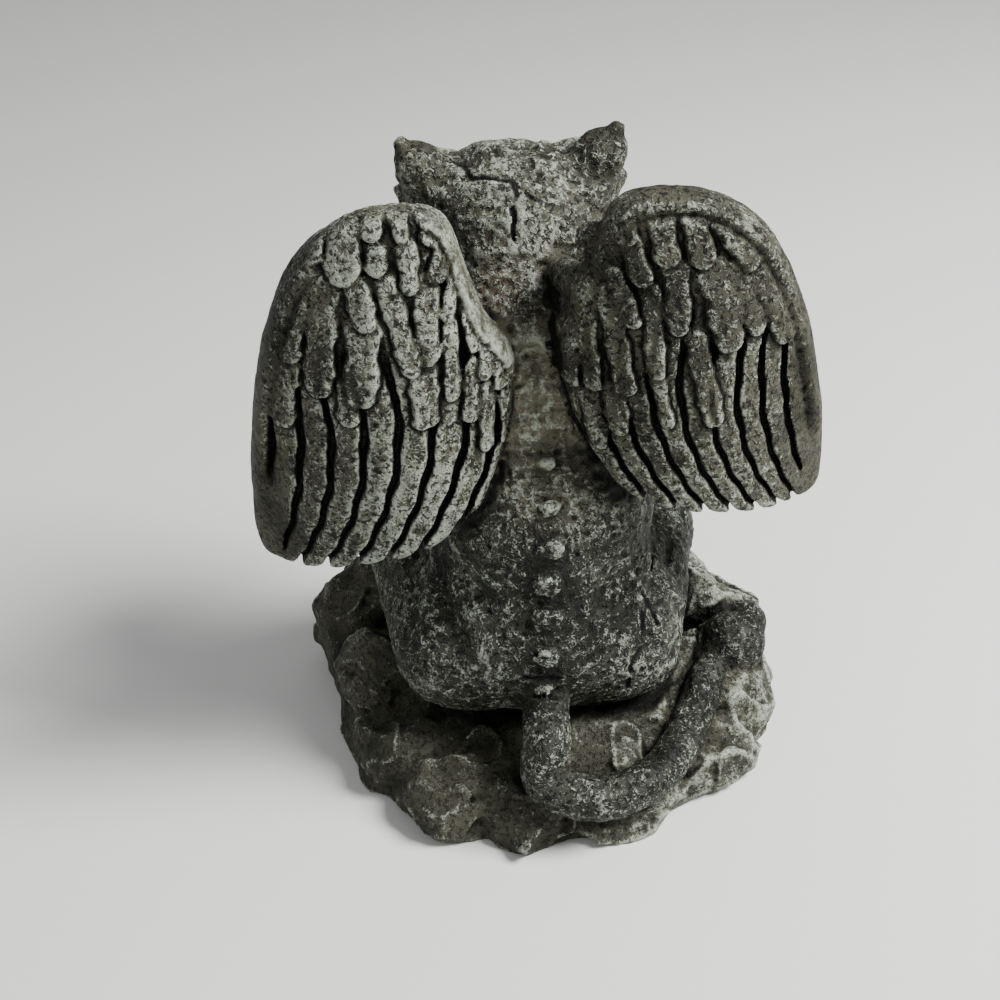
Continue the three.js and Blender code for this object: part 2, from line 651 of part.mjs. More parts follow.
const surfaceSums = (positions, triangles) => {
  const sums = new Float64Array((positions.length / 3) * 10);
  const a = new THREE.Vector3();
  const b = new THREE.Vector3();
  const c = new THREE.Vector3();
  for (let t = 0; t < triangles.length; t += 3) {
    a.fromArray(positions, 3 * triangles[t]);
    b.fromArray(positions, 3 * triangles[t + 1]).sub(a);
    c.fromArray(positions, 3 * triangles[t + 2]).sub(a);
    const normal = b.cross(c);
    const area = normal.length();
    if (area === 0) continue;
    normal.divideScalar(area);
    const hold = normal.z < -0.999 && a.z === 0 ? undersideHold : 1;
    for (let corner = 0; corner < 3; corner += 1) {
      const v = triangles[t + corner];
      const at = 10 * v;
      addPlane(sums, at, normal.x, normal.y, normal.z, -normal.dot(a), area * hold);
      addPlane(sums, at, 1, 0, 0, -positions[3 * v], area * stay);
      addPlane(sums, at, 0, 1, 0, -positions[3 * v + 1], area * stay);
      addPlane(sums, at, 0, 0, 1, -positions[3 * v + 2], area * stay);
    }
  }
  return sums;
};

// The best place for the vertex that replaces a and b, and what it costs
const bestPlace = (sums, a, b) => {
  const q = [];
  for (let i = 0; i < 10; i += 1) q.push(sums[10 * a + i] + sums[10 * b + i]);
  const [xx, xy, xz, yy, yz, zz, dx, dy, dz, dd] = q;
  const m0 = yy * zz - yz * yz;
  const m1 = xz * yz - xy * zz;
  const m2 = xy * yz - xz * yy;
  const det = xx * m0 + xy * m1 + xz * m2;
  const x = -(m0 * dx + m1 * dy + m2 * dz) / det;
  const y = -(m1 * dx + (xx * zz - xz * xz) * dy + (xz * xy - xx * yz) * dz) / det;
  const z = -(m2 * dx + (xz * xy - xx * yz) * dy + (xx * yy - xy * xy) * dz) / det;
  return [dx * x + dy * y + dz * z + dd, x, y, z];
};

// A heap of candidate edges, the cheapest on top
class EdgeHeap {
  items = [];

  push(item) {
    const { items } = this;
    let at = items.push(item) - 1;
    while (at > 0) {
      const above = (at - 1) >> 1;
      if (items[above].cost <= item.cost) break;
      items[at] = items[above];
      at = above;
    }
    items[at] = item;
  }

  pop() {
    const { items } = this;
    const top = items[0];
    const last = items.pop();
    if (items.length === 0) return top;
    let at = 0;
    for (;;) {
      let below = 2 * at + 1;
      if (below >= items.length) break;
      if (below + 1 < items.length && items[below + 1].cost < items[below].cost) below += 1;
      if (items[below].cost >= last.cost) break;
      items[at] = items[below];
      at = below;
    }
    items[at] = last;
    return top;
  }
}

const thin = (skin, mostTriangles) => {
  const positions = Float64Array.from(skin.positions);
  const triangles = Int32Array.from(skin.triangles);
  const sums = surfaceSums(positions, triangles);
  const around = Array.from({ length: positions.length / 3 }, () => []);
  for (let i = 0; i < triangles.length; i += 1) around[triangles[i]].push((i - (i % 3)) / 3);
  const stamp = new Int32Array(around.length);
  const gone = new Uint8Array(triangles.length / 3);
  const heap = new EdgeHeap();
  const offer = (a, b) => {
    const [cost, x, y, z] = bestPlace(sums, a, b);
    heap.push({ cost, a, b, x, y, z, age: stamp[a] + stamp[b] });
  };
  const neighbours = (v) => {
    const found = new Set();
    for (const t of around[v]) {
      for (let corner = 0; corner < 3; corner += 1) found.add(triangles[3 * t + corner]);
    }
    found.delete(v);
    return found;
  };
  // True if a face around v, other than the ones that vanish with the edge, would fold over
  const folds = (v, other, x, y, z) => {
    for (const t of around[v]) {
      const [i, j, k] = [triangles[3 * t], triangles[3 * t + 1], triangles[3 * t + 2]];
      if (i === other || j === other || k === other) continue;
      const [p, q] = i === v ? [j, k] : j === v ? [k, i] : [i, j];
      const ex = positions[3 * q] - positions[3 * p];
      const ey = positions[3 * q + 1] - positions[3 * p + 1];
      const ez = positions[3 * q + 2] - positions[3 * p + 2];
      const normalTo = (px, py, pz) => {
        const fx = px - positions[3 * p];
        const fy = py - positions[3 * p + 1];
        const fz = pz - positions[3 * p + 2];
        return [ey * fz - ez * fy, ez * fx - ex * fz, ex * fy - ey * fx];
      };
      const before = normalTo(positions[3 * v], positions[3 * v + 1], positions[3 * v + 2]);
      const after = normalTo(x, y, z);
      const turn = before[0] * after[0] + before[1] * after[1] + before[2] * after[2];
      const sizes = Math.hypot(...before) * Math.hypot(...after);
      const thinness = Math.hypot(...after) / (ex * ex + ey * ey + ez * ez);
      if (turn < 0.25 * sizes || thinness < 0.04) return true;
    }
    return false;
  };
  for (let v = 0; v < around.length; v += 1) for (const n of neighbours(v)) if (n > v) offer(v, n);
  let left = triangles.length / 3;
  while (left > mostTriangles && heap.items.length > 0) {
    const { a, b, x, y, z, age } = heap.pop();
    if (stamp[a] < 0 || stamp[b] < 0 || stamp[a] + stamp[b] !== age) continue;
    const nearA = neighbours(a);
    const nearB = neighbours(b);
    let shared = 0;
    for (const n of nearA) if (nearB.has(n)) shared += 1;
    if (shared !== 2 || folds(a, b, x, y, z) || folds(b, a, x, y, z)) continue;
    positions.set([x, y, z], 3 * a);
    for (let i = 0; i < 10; i += 1) sums[10 * a + i] += sums[10 * b + i];
    for (const t of around[b]) {
      const corners = triangles.subarray(3 * t, 3 * t + 3);
      if (corners.includes(a)) {
        gone[t] = 1;
        left -= 1;
        for (const n of corners) if (n !== b) around[n] = around[n].filter((other) => other !== t);
      } else {
        corners[corners.indexOf(b)] = a;
        around[a].push(t);
      }
    }
    stamp[b] = -1;
    stamp[a] += 1;
    for (const n of neighbours(a)) offer(a, n);
  }
  return { positions, triangles: triangles.filter((_, i) => !gone[(i - (i % 3)) / 3]) };
};

const thinned = thin(flattenUnderside(outerSkin(polygonise(sampleField()))), triangleBudget);

const castingGeometry = () => {
  const renumbered = new Map();
  const positions = [];
  const index = [];
  for (const old of thinned.triangles) {
    if (!renumbered.has(old)) {
      renumbered.set(old, positions.length / 3);
      const [x, y, z] = thinned.positions.slice(3 * old, 3 * old + 3);
      positions.push(x, y, z < flatWithin ? 0 : z);
    }
    index.push(renumbered.get(old));
  }
  const geometry = new THREE.BufferGeometry();
  geometry.setAttribute('position', new THREE.Float32BufferAttribute(positions, 3));
  geometry.setIndex(index);
  geometry.computeBoundingBox();
  const { min, max } = geometry.boundingBox;
  geometry.translate(-0.5 * (min.x + max.x), -0.5 * (min.y + max.y), -min.z);
  geometry.computeVertexNormals();
  return geometry;
};

const gargoyle = new THREE.Mesh(castingGeometry(), stone);
gargoyle.name = 'gargoyle_statue';

const statue = new THREE.Group();
statue.name = 'statue';
statue.add(gargoyle);

export default statue;
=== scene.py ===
# %% [markdown]
# # A small cast gargoyle, seen from behind
# The real object is one casting: a seated gargoyle, its wings, its tail and its rock, poured in
# stone-filled resin from one mould, washed with near-black paint and brushed lightly with a pale
# grey-green over the high places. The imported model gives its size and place. This script makes the
# surface again at a fineness that shows feathers, pits and cracks, and then paints it.

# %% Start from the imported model
import math
import time
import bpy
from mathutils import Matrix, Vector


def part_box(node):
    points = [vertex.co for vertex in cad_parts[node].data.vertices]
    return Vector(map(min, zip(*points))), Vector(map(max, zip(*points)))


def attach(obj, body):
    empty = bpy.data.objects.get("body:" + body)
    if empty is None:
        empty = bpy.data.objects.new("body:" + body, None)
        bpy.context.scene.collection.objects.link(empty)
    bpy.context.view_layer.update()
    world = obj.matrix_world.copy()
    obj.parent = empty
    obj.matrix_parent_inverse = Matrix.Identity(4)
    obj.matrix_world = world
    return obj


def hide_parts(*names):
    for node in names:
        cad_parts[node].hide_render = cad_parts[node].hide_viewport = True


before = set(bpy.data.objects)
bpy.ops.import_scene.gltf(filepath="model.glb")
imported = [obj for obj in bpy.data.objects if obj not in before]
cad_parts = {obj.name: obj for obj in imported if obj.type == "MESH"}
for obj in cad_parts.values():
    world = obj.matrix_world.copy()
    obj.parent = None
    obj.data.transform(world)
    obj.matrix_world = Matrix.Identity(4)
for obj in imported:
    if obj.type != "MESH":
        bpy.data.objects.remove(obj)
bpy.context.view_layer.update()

from concurrent.futures import ThreadPoolExecutor

import bpy
import numpy as np
from mathutils import Matrix, Vector

MM = 0.001
started = time.time()
node_low, node_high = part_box("gargoyle_statue")
print("CAD box in mm", [round(v / MM, 1) for v in (*node_low, *node_high)])

# %% [markdown]
# ## Why a distance field
# A sculptor presses lumps of clay together and the joins flow into each other. A signed distance field
# does the same with numbers: every lump says how far a point is from its surface, and a rounded
# minimum joins two lumps. Subdivision surfaces would need a hand-made cage for each limb, and booleans
# leave hard seams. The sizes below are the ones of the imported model, in millimetres.

# %% Sizes of the casting
FIGURE_HEIGHT = 100.0
SEAT_HEIGHT = 15.0
BASE_WIDTH = 91.0
BASE_DEPTH = 86.0
WING_SPAN = 101.0
WING_HEIGHT = 67.0
WING_THICKNESS = 5.0
FEATHER_RELIEF = 1.15
RIM_WIDTH = 3.4
HORN_LENGTH = 14.0
HORN_RADIUS = 6.2
TAIL_DIAMETER = 8.2
SPINE_PLATE = 6.4
TOE_RADIUS = 2.6
CLAW_LENGTH = 4.5
LEFT_LONG_FEATHERS = 10
RIGHT_LONG_FEATHERS = 12
SPINE_PLATES = 7
RIM_BOULDERS = 13
BOULDER_FACETS = 9
SHARE = FIGURE_HEIGHT / 100.0  # one hundredth of the figure's height, the unit of its pose
print("figure", FIGURE_HEIGHT, "mm on a seat", SEAT_HEIGHT, "mm high")


# %% Small mathematics, for whole arrays of points at once
def mix(a, b, t):
    """From a to b as t goes from 0 to 1."""
    return a + (b - a) * t


def smoothstep(low, high, value):
    t = np.clip((value - low) / (high - low), 0.0, 1.0)
    return t * t * (3.0 - 2.0 * t)


def join(a, b, width):
    """The nearer of two surfaces, with a fillet of about the given width where they meet."""
    h = np.maximum(width - np.abs(a - b), 0.0) / width
    return np.minimum(a, b) - h * h * width * 0.25


def cut(a, b, width):
    return -join(-a, b, width)


def uneven(i, j):
    """A number from -0.5 to 0.5 that looks random and is the same on each run."""
    s = math.sin(i * 12.9898 + j * 78.233) * 43758.5453
    return s - math.floor(s) - 0.5


print("two touching lumps join with a fillet of", round(float(-join(0.0, 0.0, 4.0)), 2), "mm")


# %% Lumps and limbs of clay
def lump(at, radii, blend):
    """An egg shape, with the width of the fillet that joins it on."""
    def distance(x, y, z):
        px, py, pz = (x - at[0]) / radii[0], (y - at[1]) / radii[1], (z - at[2]) / radii[2]
        k0 = np.sqrt(px * px + py * py + pz * pz)
        k1 = np.sqrt((px / radii[0]) ** 2 + (py / radii[1]) ** 2 + (pz / radii[2]) ** 2)
        return k0 * (k0 - 1.0) / np.maximum(k1, 1e-6)
    return distance, blend


def limb(start, end, start_radius, end_radius, blend):
    """A round-ended rod that tapers, with the width of the fillet that joins it on."""
    axis = [float(b - a) for a, b in zip(start, end)]
    length2 = sum(v * v for v in axis)

    def distance(x, y, z):
        dx, dy, dz = x - start[0], y - start[1], z - start[2]
        t = np.clip((dx * axis[0] + dy * axis[1] + dz * axis[2]) / length2, 0.0, 1.0)
        reach = np.sqrt((dx - axis[0] * t) ** 2 + (dy - axis[1] * t) ** 2 + (dz - axis[2] * t) ** 2)
        return reach - mix(start_radius, end_radius, t)
    return distance, blend


def press(parts, x, y, z):
    """Distance to many lumps and limbs joined in turn."""
    d = np.full_like(x, 1e3)
    for distance, blend in parts:
        d = join(d, distance(x, y, z), blend)
    return d


# %% [markdown]
# ## The body
# Pose and proportions are in hundredths of the figure's height, above the seat. Only the back shows in
# the reference, so the chest, arms and feet are plain: arms that reach down between the raised knees.
# Limbs are written once and mirrored by taking the absolute value of x.

# %% Torso, legs and arms
torso = [
    lump((0, 9, 16), (22.5, 20, 18.5), 1),  # pelvis and rump
    lump((0, 4, 36), (20.5, 21.5, 20), 7),  # belly and lower back
    lump((0, 0, 61), (21, 18.5, 18), 7),  # rib cage
    limb((0, -1, 70), (0, -7, 84), 14, 12, 6),  # neck
    lump((9, -13, 63), (10, 7, 9), 4),  # breast muscles
    lump((0, -12, 42), (12, 7, 13), 4),  # paunch
]
legs = [
    limb((13.5, 12, 12), (22, -8, 20), 13.5, 9.5, 4),  # thigh
    limb((21.5, -12, 20), (20, -22, 4), 8.2, 5.6, 3),  # shin
    limb((20, -22, 3), (21.5, -33, 2.5), 5.6, 4.6, 3),  # foot
    lump((23, -15, 25), (6.5, 5.5, 5), 3),  # knee cap
]
arms = [
    lump((20, -3, 68), (10, 10.5, 10), 4),  # shoulder
    limb((22, -4, 64), (25.5, -10, 46), 8, 6.2, 4),  # upper arm
    limb((25.5, -10, 46), (12.5, -26, 24), 6.6, 4.8, 3),  # forearm
    lump((11.5, -28.5, 17), (5.2, 4.6, 6.5), 3),  # hand
]
print(len(torso) + len(legs) + len(arms), "lumps and limbs in the body")


# %% Toes and fingers, each ending in a claw
def digits(knuckle, aim, spread, count):
    made = []
    for i in range(count):
        side = i - (count - 1) / 2
        tip = Vector((knuckle[0] + aim[0] + side * spread, knuckle[1] + aim[1], knuckle[2] + aim[2]))
        start = Vector((knuckle[0] + side * spread * 0.55, knuckle[1], knuckle[2]))
        way = (tip - start).normalized()
        claw = (tip.x + way.x * CLAW_LENGTH / SHARE, tip.y + way.y * CLAW_LENGTH / SHARE,
                tip.z - 0.7 * CLAW_LENGTH / SHARE)
        made.append(limb(start, tip, 1.15 * TOE_RADIUS / SHARE, TOE_RADIUS / SHARE, 0.8))
        made.append(limb(tip, claw, 0.8 * TOE_RADIUS / SHARE, 0.7 / SHARE, 0.5))
    return made


toes = digits((21.5, -33, 2.6), (0.8, -5.5, -0.6), 4.6, 3)
fingers = digits((11.2, -30, 12), (-0.4, -3, -6.5), 3.4, 3)
print(len(toes) // 2 + len(fingers) // 2, "digits on each side")

# %% Head, horns and face
horn_root = (12.4, -8.0, 91.0)
horn_middle = (horn_root[0] + 3.0, horn_root[1], horn_root[2] + 0.34 * HORN_LENGTH / SHARE)
horn_tip = (horn_root[0] + 5.5, horn_root[1] + 0.3, horn_root[2] + 0.61 * HORN_LENGTH / SHARE)
head = [
    lump((0, -10, 85.5), (16.3, 15, 12.3), 5),  # skull
    lump((0, -25, 79), (10, 9.5, 7.5), 4),  # muzzle
    lump((0, -22, 72.5), (10.5, 9.5, 5.6), 3),  # jaw
    lump((12, -17, 78), (5.5, 6.5, 6.5), 4),  # cheek
    limb((2.5, -24.5, 87.5), (12.5, -19.5, 91.5), 3, 3.4, 2),  # brow
    lump((0, -33.5, 81.5), (4, 3.2, 3), 1.5),  # nose
    lump((3.3, -33, 80), (2, 2.4, 2), 1),  # wing of the nose
    limb((15, -12, 86), (18.9, -13, 90), 3.4, 1.6, 2),  # ear
]
horns = [
    limb(horn_root, horn_middle, HORN_RADIUS / SHARE, 0.68 * HORN_RADIUS / SHARE, 3),
    limb(horn_middle, horn_tip, 0.68 * HORN_RADIUS / SHARE, 0.26 * HORN_RADIUS / SHARE, 1),
]
face_added = [
    lump((6.6, -25.5, 83.8), (3, 2.6, 2.5), 0.6),  # eye
    limb((6, -31, 76.5), (5.8, -31.8, 73), 1.3, 0.6, 0.6),  # fang
]
face_cut = [
    lump((6.8, -28, 84.2), (4.2, 3, 3.4), 1.2),  # eye socket
    limb((0, -33.5, 75.4), (9.5, -25, 76.6), 0.7, 0.9, 0.8),  # mouth
    lump((1.9, -36, 80.2), (0.9, 1.6, 0.8), 0.6),  # nostril
]
figure_clay = torso + legs + arms + toes + fingers + head + horns

HEAD_FROM = 85  # the sway ends at this height, so the whole head leans the same way


def sway(z):
    """How far the body leans to its left at a height."""
    return 1.3 * np.cos(2 * math.pi * (np.minimum(z, HEAD_FROM) - 10) / 75)


def figure(x, y, z):
    """Distance to the figure, in hundredths of its height, with the face cut in and added last."""
    side = np.abs(x - sway(z))
    d = press(figure_clay, side, y, z)
    for distance, blend in face_cut:
        d = cut(d, distance(side, y, z), blend)
    for distance, blend in face_added:
        d = join(d, distance(side, y, z), blend)
    return d


print(len(figure_clay) + len(face_added) + len(face_cut), "pieces of clay in the figure")

# %% [markdown]
# ## Spine and tail
# The plates sit on the back wherever its surface is, found by halving a search along y. The tail is a
# chain of short limbs along a smooth curve, ending in a tuft by the right knee.


# %% Plates down the back
def back_at(z):
    """How far behind the middle the back's surface is at a height."""
    inside, outside = 0.0, 60.0
    for _ in range(30):
        y = (inside + outside) / 2
        if figure(np.array([sway(z)]), np.array([y]), np.array([z]))[0] < 0:
            inside = y
        else:
            outside = y
    return inside


LOWEST_PLATE, HIGHEST_PLATE = 12.0, 52.0
spine = []
for i in range(SPINE_PLATES):
    along = i / (SPINE_PLATES - 1)
    z = mix(LOWEST_PLATE, HIGHEST_PLATE, along)
    radius = (SPINE_PLATE / 2) * (1 - 0.45 * abs(along - 0.45) * 2) / SHARE
    spine.append(lump((float(sway(z)), back_at(z), z), (radius, 1.5 / SHARE, 0.8 * radius), 0.5))
print(len(spine), "plates, the lowest", round(back_at(LOWEST_PLATE), 1), "mm behind the middle")


# %% Tail
def smooth_curve(points, count, closed=False):
    """Points along a centripetal Catmull-Rom curve through the given ones."""
    pts = [np.array(p, float) for p in points]
    if closed:
        pts = [pts[-1]] + pts + pts[:2]
    else:
        pts = [2 * pts[0] - pts[1]] + pts + [2 * pts[-1] - pts[-2]]
    made = []
    for s in np.linspace(0, len(pts) - 3, count):
        k = min(int(s), len(pts) - 4)
        a, b, c, d = pts[k:k + 4]
        gap = [max(float(np.linalg.norm(q - p)), 1e-6) ** 0.5 for p, q in ((a, b), (b, c), (c, d))]
        leave = ((b - a) / gap[0] - (c - a) / (gap[0] + gap[1]) + (c - b) / gap[1]) * gap[1]
        arrive = ((c - b) / gap[1] - (d - b) / (gap[1] + gap[2]) + (d - c) / gap[2]) * gap[1]
        t = s - k
        made.append(b + leave * t + (3 * (c - b) - 2 * leave - arrive) * t * t
                    + (2 * (b - c) + leave + arrive) * t ** 3)
    return made


tail_rear = (0.5 * BASE_DEPTH - 3) / SHARE
tuft_out = (0.5 * BASE_WIDTH - 8.5) / SHARE
tail_line = smooth_curve(
    [(1, 24, 8), (1.8, tail_rear - 5, 5), (2, tail_rear - 2.5, -2), (-6.8, tail_rear, -4.5),
     (-15, tail_rear - 3, -4.5), (-22, tail_rear - 10.5, -4), (10 - tuft_out, 19.5, -2.5),
     (5.5 - tuft_out, 11, 0), (-tuft_out, 5, 2)], 25)
tail = []
for i, (start, end) in enumerate(zip(tail_line, tail_line[1:])):
    radius = TAIL_DIAMETER / 2 / SHARE * mix(1, 0.76, i / (len(tail_line) - 2))
    tail.append(limb(start, end, radius, radius, 1))
tail.append(lump((0.5 - tuft_out, 6, 2.5), (6, 6.5, 5.2), 1.5))
tail.append(lump((-2.5 - tuft_out, 2, 4), (4, 4.5, 4), 1.2))
print(len(tail), "pieces in the tail")

# %% [markdown]
# ## Wings
# Each wing is a bowed slab. Its outline and its feathers depend only on the place in the x-z plane, so
# both are drawn once on flat grids, as a relief carver draws on the face of a board, and every point
# above the plane reads them. The left and the right wing share the grids; the right one is shorter.

# %% Wing outline
half_span = WING_SPAN / 2
WING_TOP, WING_REAR = 99.5, 27  # in hundredths of the figure's height
wing_top_z = SEAT_HEIGHT + WING_TOP * SHARE
wing_rear_y = WING_REAR * SHARE
ridge_out = 0.47 * half_span  # where the bowed slab is furthest back
SWEEP, DROOP = 12.0, 3.0  # how far its outer edge and its ends come forward of that
RIGHT_WING_DROP = 0.915  # the right wing is a little shorter than the left
outline_corners = [
    (0.19, 0.2), (0.15, 0.3), (0.06, 0.42), (0.09, 0.57), (0.2, 0.79), (0.36, 0.88), (0.6, 0.93),
    (0.85, 0.985), (0.985, 0.985), (0.99, 0.8), (0.95, 0.6), (0.86, 0.33), (0.7, 0.1),
    (0.48, 0.004), (0.27, 0.035),
]
wing_outline = smooth_curve(
    [(out * half_span, down * WING_HEIGHT, 0) for out, down in outline_corners], 91, closed=True)
GRID_STEP, GRID_MARGIN = 0.2, 5.0
columns = np.arange(-GRID_MARGIN, half_span + GRID_MARGIN + GRID_STEP, GRID_STEP)
rows = np.arange(-GRID_MARGIN, WING_HEIGHT + GRID_MARGIN + GRID_STEP, GRID_STEP)
out_grid, down_grid = np.meshgrid(columns, rows)


def outline_distance(out, down):
    """How far a place on the slab's face is outside the wing's outline, and below 0 inside it."""
    nearest = np.full_like(out, 1e3)
    inside = np.zeros(out.shape, bool)
    for a, b in zip(wing_outline, wing_outline[1:]):
        ex, ey = b[0] - a[0], b[1] - a[1]
        t = np.clip(((out - a[0]) * ex + (down - a[1]) * ey) / (ex * ex + ey * ey), 0, 1)
        nearest = np.minimum(nearest, np.hypot(out - a[0] - ex * t, down - a[1] - ey * t))
        if ey != 0:
            crosses = (a[1] > down) != (b[1] > down)
            inside ^= crosses & (out < a[0] + (down - a[1]) / ey * ex)
    return np.where(inside, -nearest, nearest)


edge_plain = outline_distance(out_grid, down_grid)
print("one wing covers", round(float((edge_plain < 0).sum() * GRID_STEP ** 2)), "square mm")

# %% [markdown]
# ## Feathers
# The long feathers fan out from the shoulder, so their lines are found by following each point back up
# the fan. Over their roots lie rows of short feathers like roof tiles, lowest row first. A real mould
# maker cuts each one by hand, so every feather has its own lean, length and height.

# %% The fan of long feathers
fan_middle = 0.72 * WING_HEIGHT


def feather_across(out, down):
    """Where a place's feather line meets the fan's middle, as a share of the half span."""
    below = (down - fan_middle) / WING_HEIGHT
    across = out / half_span
    for _ in range(4):
        lean = 0.15 + 0.4 * (1 - across)
        bend = 0.75 * np.clip((1 - across) * 3, 0, 1)
        across = out / half_span - (lean * below + bend * below * below) * (WING_HEIGHT / half_span)
    return across


def off_middle(out, down, count):
    """How far a point is off the middle of its long feather, from 0 there to 1 at the feather's sides."""
    place = feather_across(out, down) * count + 0.04 * np.sin(0.5 * down + out)
    return np.abs(2 * (place - np.floor(place)) - 1) * smoothstep(0.94, 0.88, out / half_span)


# %% Short feathers, row by row from the top
# Where each starts, where its tip is and how wide it is, in hundredths of the half span across and of
# the wing's height down. The two wings were cut by hand and differ. The places were picked by eye in
# the photo and turned into hundredths by a separate script, so nothing here works them out again.
left_coverts = [
    (54, 0, 54, 2, 5), (64, 4, 67, 11, 8), (46, 0, 48, 6, 7), (39, 1, 38, 7, 6),
    (29, 2, 29, 5, 10), (28, 5, 29, 9, 11), (55, 4, 58, 16, 12), (46, 8, 47, 14, 7),
    (37, 8, 37, 19, 7), (26, 10, 30, 17, 8), (70, 13, 78, 36, 10), (63, 16, 69, 44, 11),
    (53, 16, 51, 27, 9), (44, 16, 38, 39, 8), (32, 17, 34, 37, 9), (24, 16, 27, 27, 5),
    (20, 24, 19, 36, 6), (78, 35, 83, 54, 11), (52, 25, 56, 46, 12), (35, 37, 36, 53, 10),
    (26, 28, 27, 47, 6), (20, 39, 22, 54, 6), (16, 32, 16, 44, 5), (12, 36, 11, 48, 6),
    (59, 41, 60, 51, 8), (16, 46, 17, 63, 6), (10, 47, 11, 63, 5),
]
right_coverts = [
    (24, 1, 26, 6, 9), (30, -2, 32, 2, 7), (36, 1, 37, 6, 6), (43, 0, 46, 5, 9), (50, 0, 53, 5, 7),
    (39, 7, 41, 18, 9), (48, 4, 52, 19, 9), (55, 6, 68, 21, 7), (60, 7, 71, 19, 5),
    (29, 6, 28, 13, 7), (30, 12, 34, 23, 8), (43, 18, 44, 36, 9), (55, 20, 61, 42, 12),
    (61, 20, 70, 39, 8), (70, 22, 81, 44, 10), (25, 20, 31, 34, 7), (36, 24, 37, 48, 7),
    (23, 25, 28, 53, 8), (16, 32, 18, 53, 7), (12, 36, 11, 53, 6), (16, 53, 20, 70, 7),
    (24, 52, 26, 65, 8), (37, 47, 41, 62, 5), (49, 37, 56, 63, 8),
]
print(len(left_coverts), "short feathers on the left wing and", len(right_coverts), "on the right")


# %% Carve both wings
GROUND_SWELL = 0.9  # how far the shoulder of the wing swells under the short feathers
LONG_FEATHERS_FROM = 0.3
NOTCH_DEPTH = 1.5
GROOVE_DEPTH = 1.45
SHORT_FEATHER_LIFT = 1.35


def rim_weight(out, down, top_from):
    """1 where the wing's raised rim runs, along its top and its outer side."""
    outside = smoothstep(0.35, 0.6, out / half_span - 0.35 * (down / WING_HEIGHT))
    along = smoothstep(top_from, top_from + 0.1, out / half_span)
    top = smoothstep(0.16, 0.08, down / WING_HEIGHT) * along
    return np.maximum(top, outside * along * smoothstep(0.85, 0.7, down / WING_HEIGHT))


def short_feathers(out, down, coverts):
    """How far the short feathers lift the surface, and how strong the crease round each of them is, which
    is sunk a little and painted with shadow.
    """
    lift, crease = np.zeros_like(out), np.zeros_like(out)
    for root_out, root_down, tip_out, tip_down, width in coverts:
        tip = Vector((tip_out * half_span, tip_down * WING_HEIGHT)) / 100
        root = Vector((root_out * half_span, root_down * WING_HEIGHT)) / 100
        length = (tip - root).length
        way = (tip - root) / length
        half = 0.47 * width * half_span / 100
        dx, dy = out - tip.x, down - tip.y
        up = -(dx * way.x + dy * way.y)
        side = (dx * way.y - dy * way.x) / half
        side = side * (1 + 0.1 * np.sin(0.9 * up + tip_out) + 0.05 * np.sin(2.1 * up + tip_down))
        past_end = np.maximum.reduce([1 - up / half, (up - length) / half, np.zeros_like(up)])
        reach = np.sqrt(side ** 2 + past_end ** 2)
        upward = np.clip(up / (length + half), 0, 1)
        lift = np.maximum(lift, (1 - 0.5 * upward) * smoothstep(1.04, 0.8, reach))
        beyond = (reach - 1) * half
        crease = np.maximum(crease, smoothstep(0.8, 0.1, np.abs(beyond)) * smoothstep(1, 0.4, upward))
    return lift, crease


def carve_wing(coverts, long_feathers, rim_from, fold_to):
    """Grids of the edge, the feathers' height, the painted shadow in the gaps between them and the smooth
    inner fold.
    """
    share = down_grid / WING_HEIGHT
    low_edge = smoothstep(0.8, 0.9, share + 0.14 * (1 - out_grid / half_span))
    off = off_middle(out_grid, down_grid, long_feathers)
    groove = smoothstep(0.72, 0.86, off)
    edges = edge_plain + NOTCH_DEPTH * low_edge * off ** 3
    shown = smoothstep(LONG_FEATHERS_FROM, LONG_FEATHERS_FROM + 0.18,
                       share + 0.1 * (1 - out_grid / half_span))
    ground = (0.25 - shown * (GROOVE_DEPTH * groove + 0.2 * off ** 2) - 0.35 * (1 - shown)
              + GROUND_SWELL * smoothstep(0.5, 0.05, share))
    lift, crease = short_feathers(out_grid, down_grid, coverts)
    covered = smoothstep(0.05, 0.35, lift)
    filled = 1.2 * shown * groove * covered
    heights = FEATHER_RELIEF * (ground + SHORT_FEATHER_LIFT * lift + filled - 0.3 * crease)
    rim = FEATHER_RELIEF * (1.3 - 0.9 * ((edge_plain + 0.5 * RIM_WIDTH) / (0.5 * RIM_WIDTH)) ** 2)
    inward = smoothstep(-RIM_WIDTH - 0.6, -RIM_WIDTH + 0.4, edge_plain)
    on_rim = rim_weight(out_grid, down_grid, rim_from) * inward
    heights = mix(heights, np.maximum(rim, -0.4), on_rim)
    fold = smoothstep(0.36, 0.28, out_grid / half_span) * smoothstep(fold_to, fold_to - 0.1, share)
    fold_height = 1.9 - 1.1 * ((edge_plain + 1.0) / 1.1) ** 2
    fold = fold * smoothstep(-2.4, -1.9, edge_plain)
    heights = mix(heights, np.maximum(fold_height, -0.4), fold)
    gaps = np.maximum(shown * groove, 0.9 * crease) * (1 - covered) * (1 - on_rim) * (1 - fold)
    return edges, np.where(edge_plain < 3, heights, 0), gaps, fold


left_wing = carve_wing(left_coverts, LEFT_LONG_FEATHERS, 0.6, 0.5)
right_wing = carve_wing(right_coverts, RIGHT_LONG_FEATHERS, 0.2, 0.15)
print("feathers stand up to", round(float(left_wing[1].max()), 2), "mm above the wing")


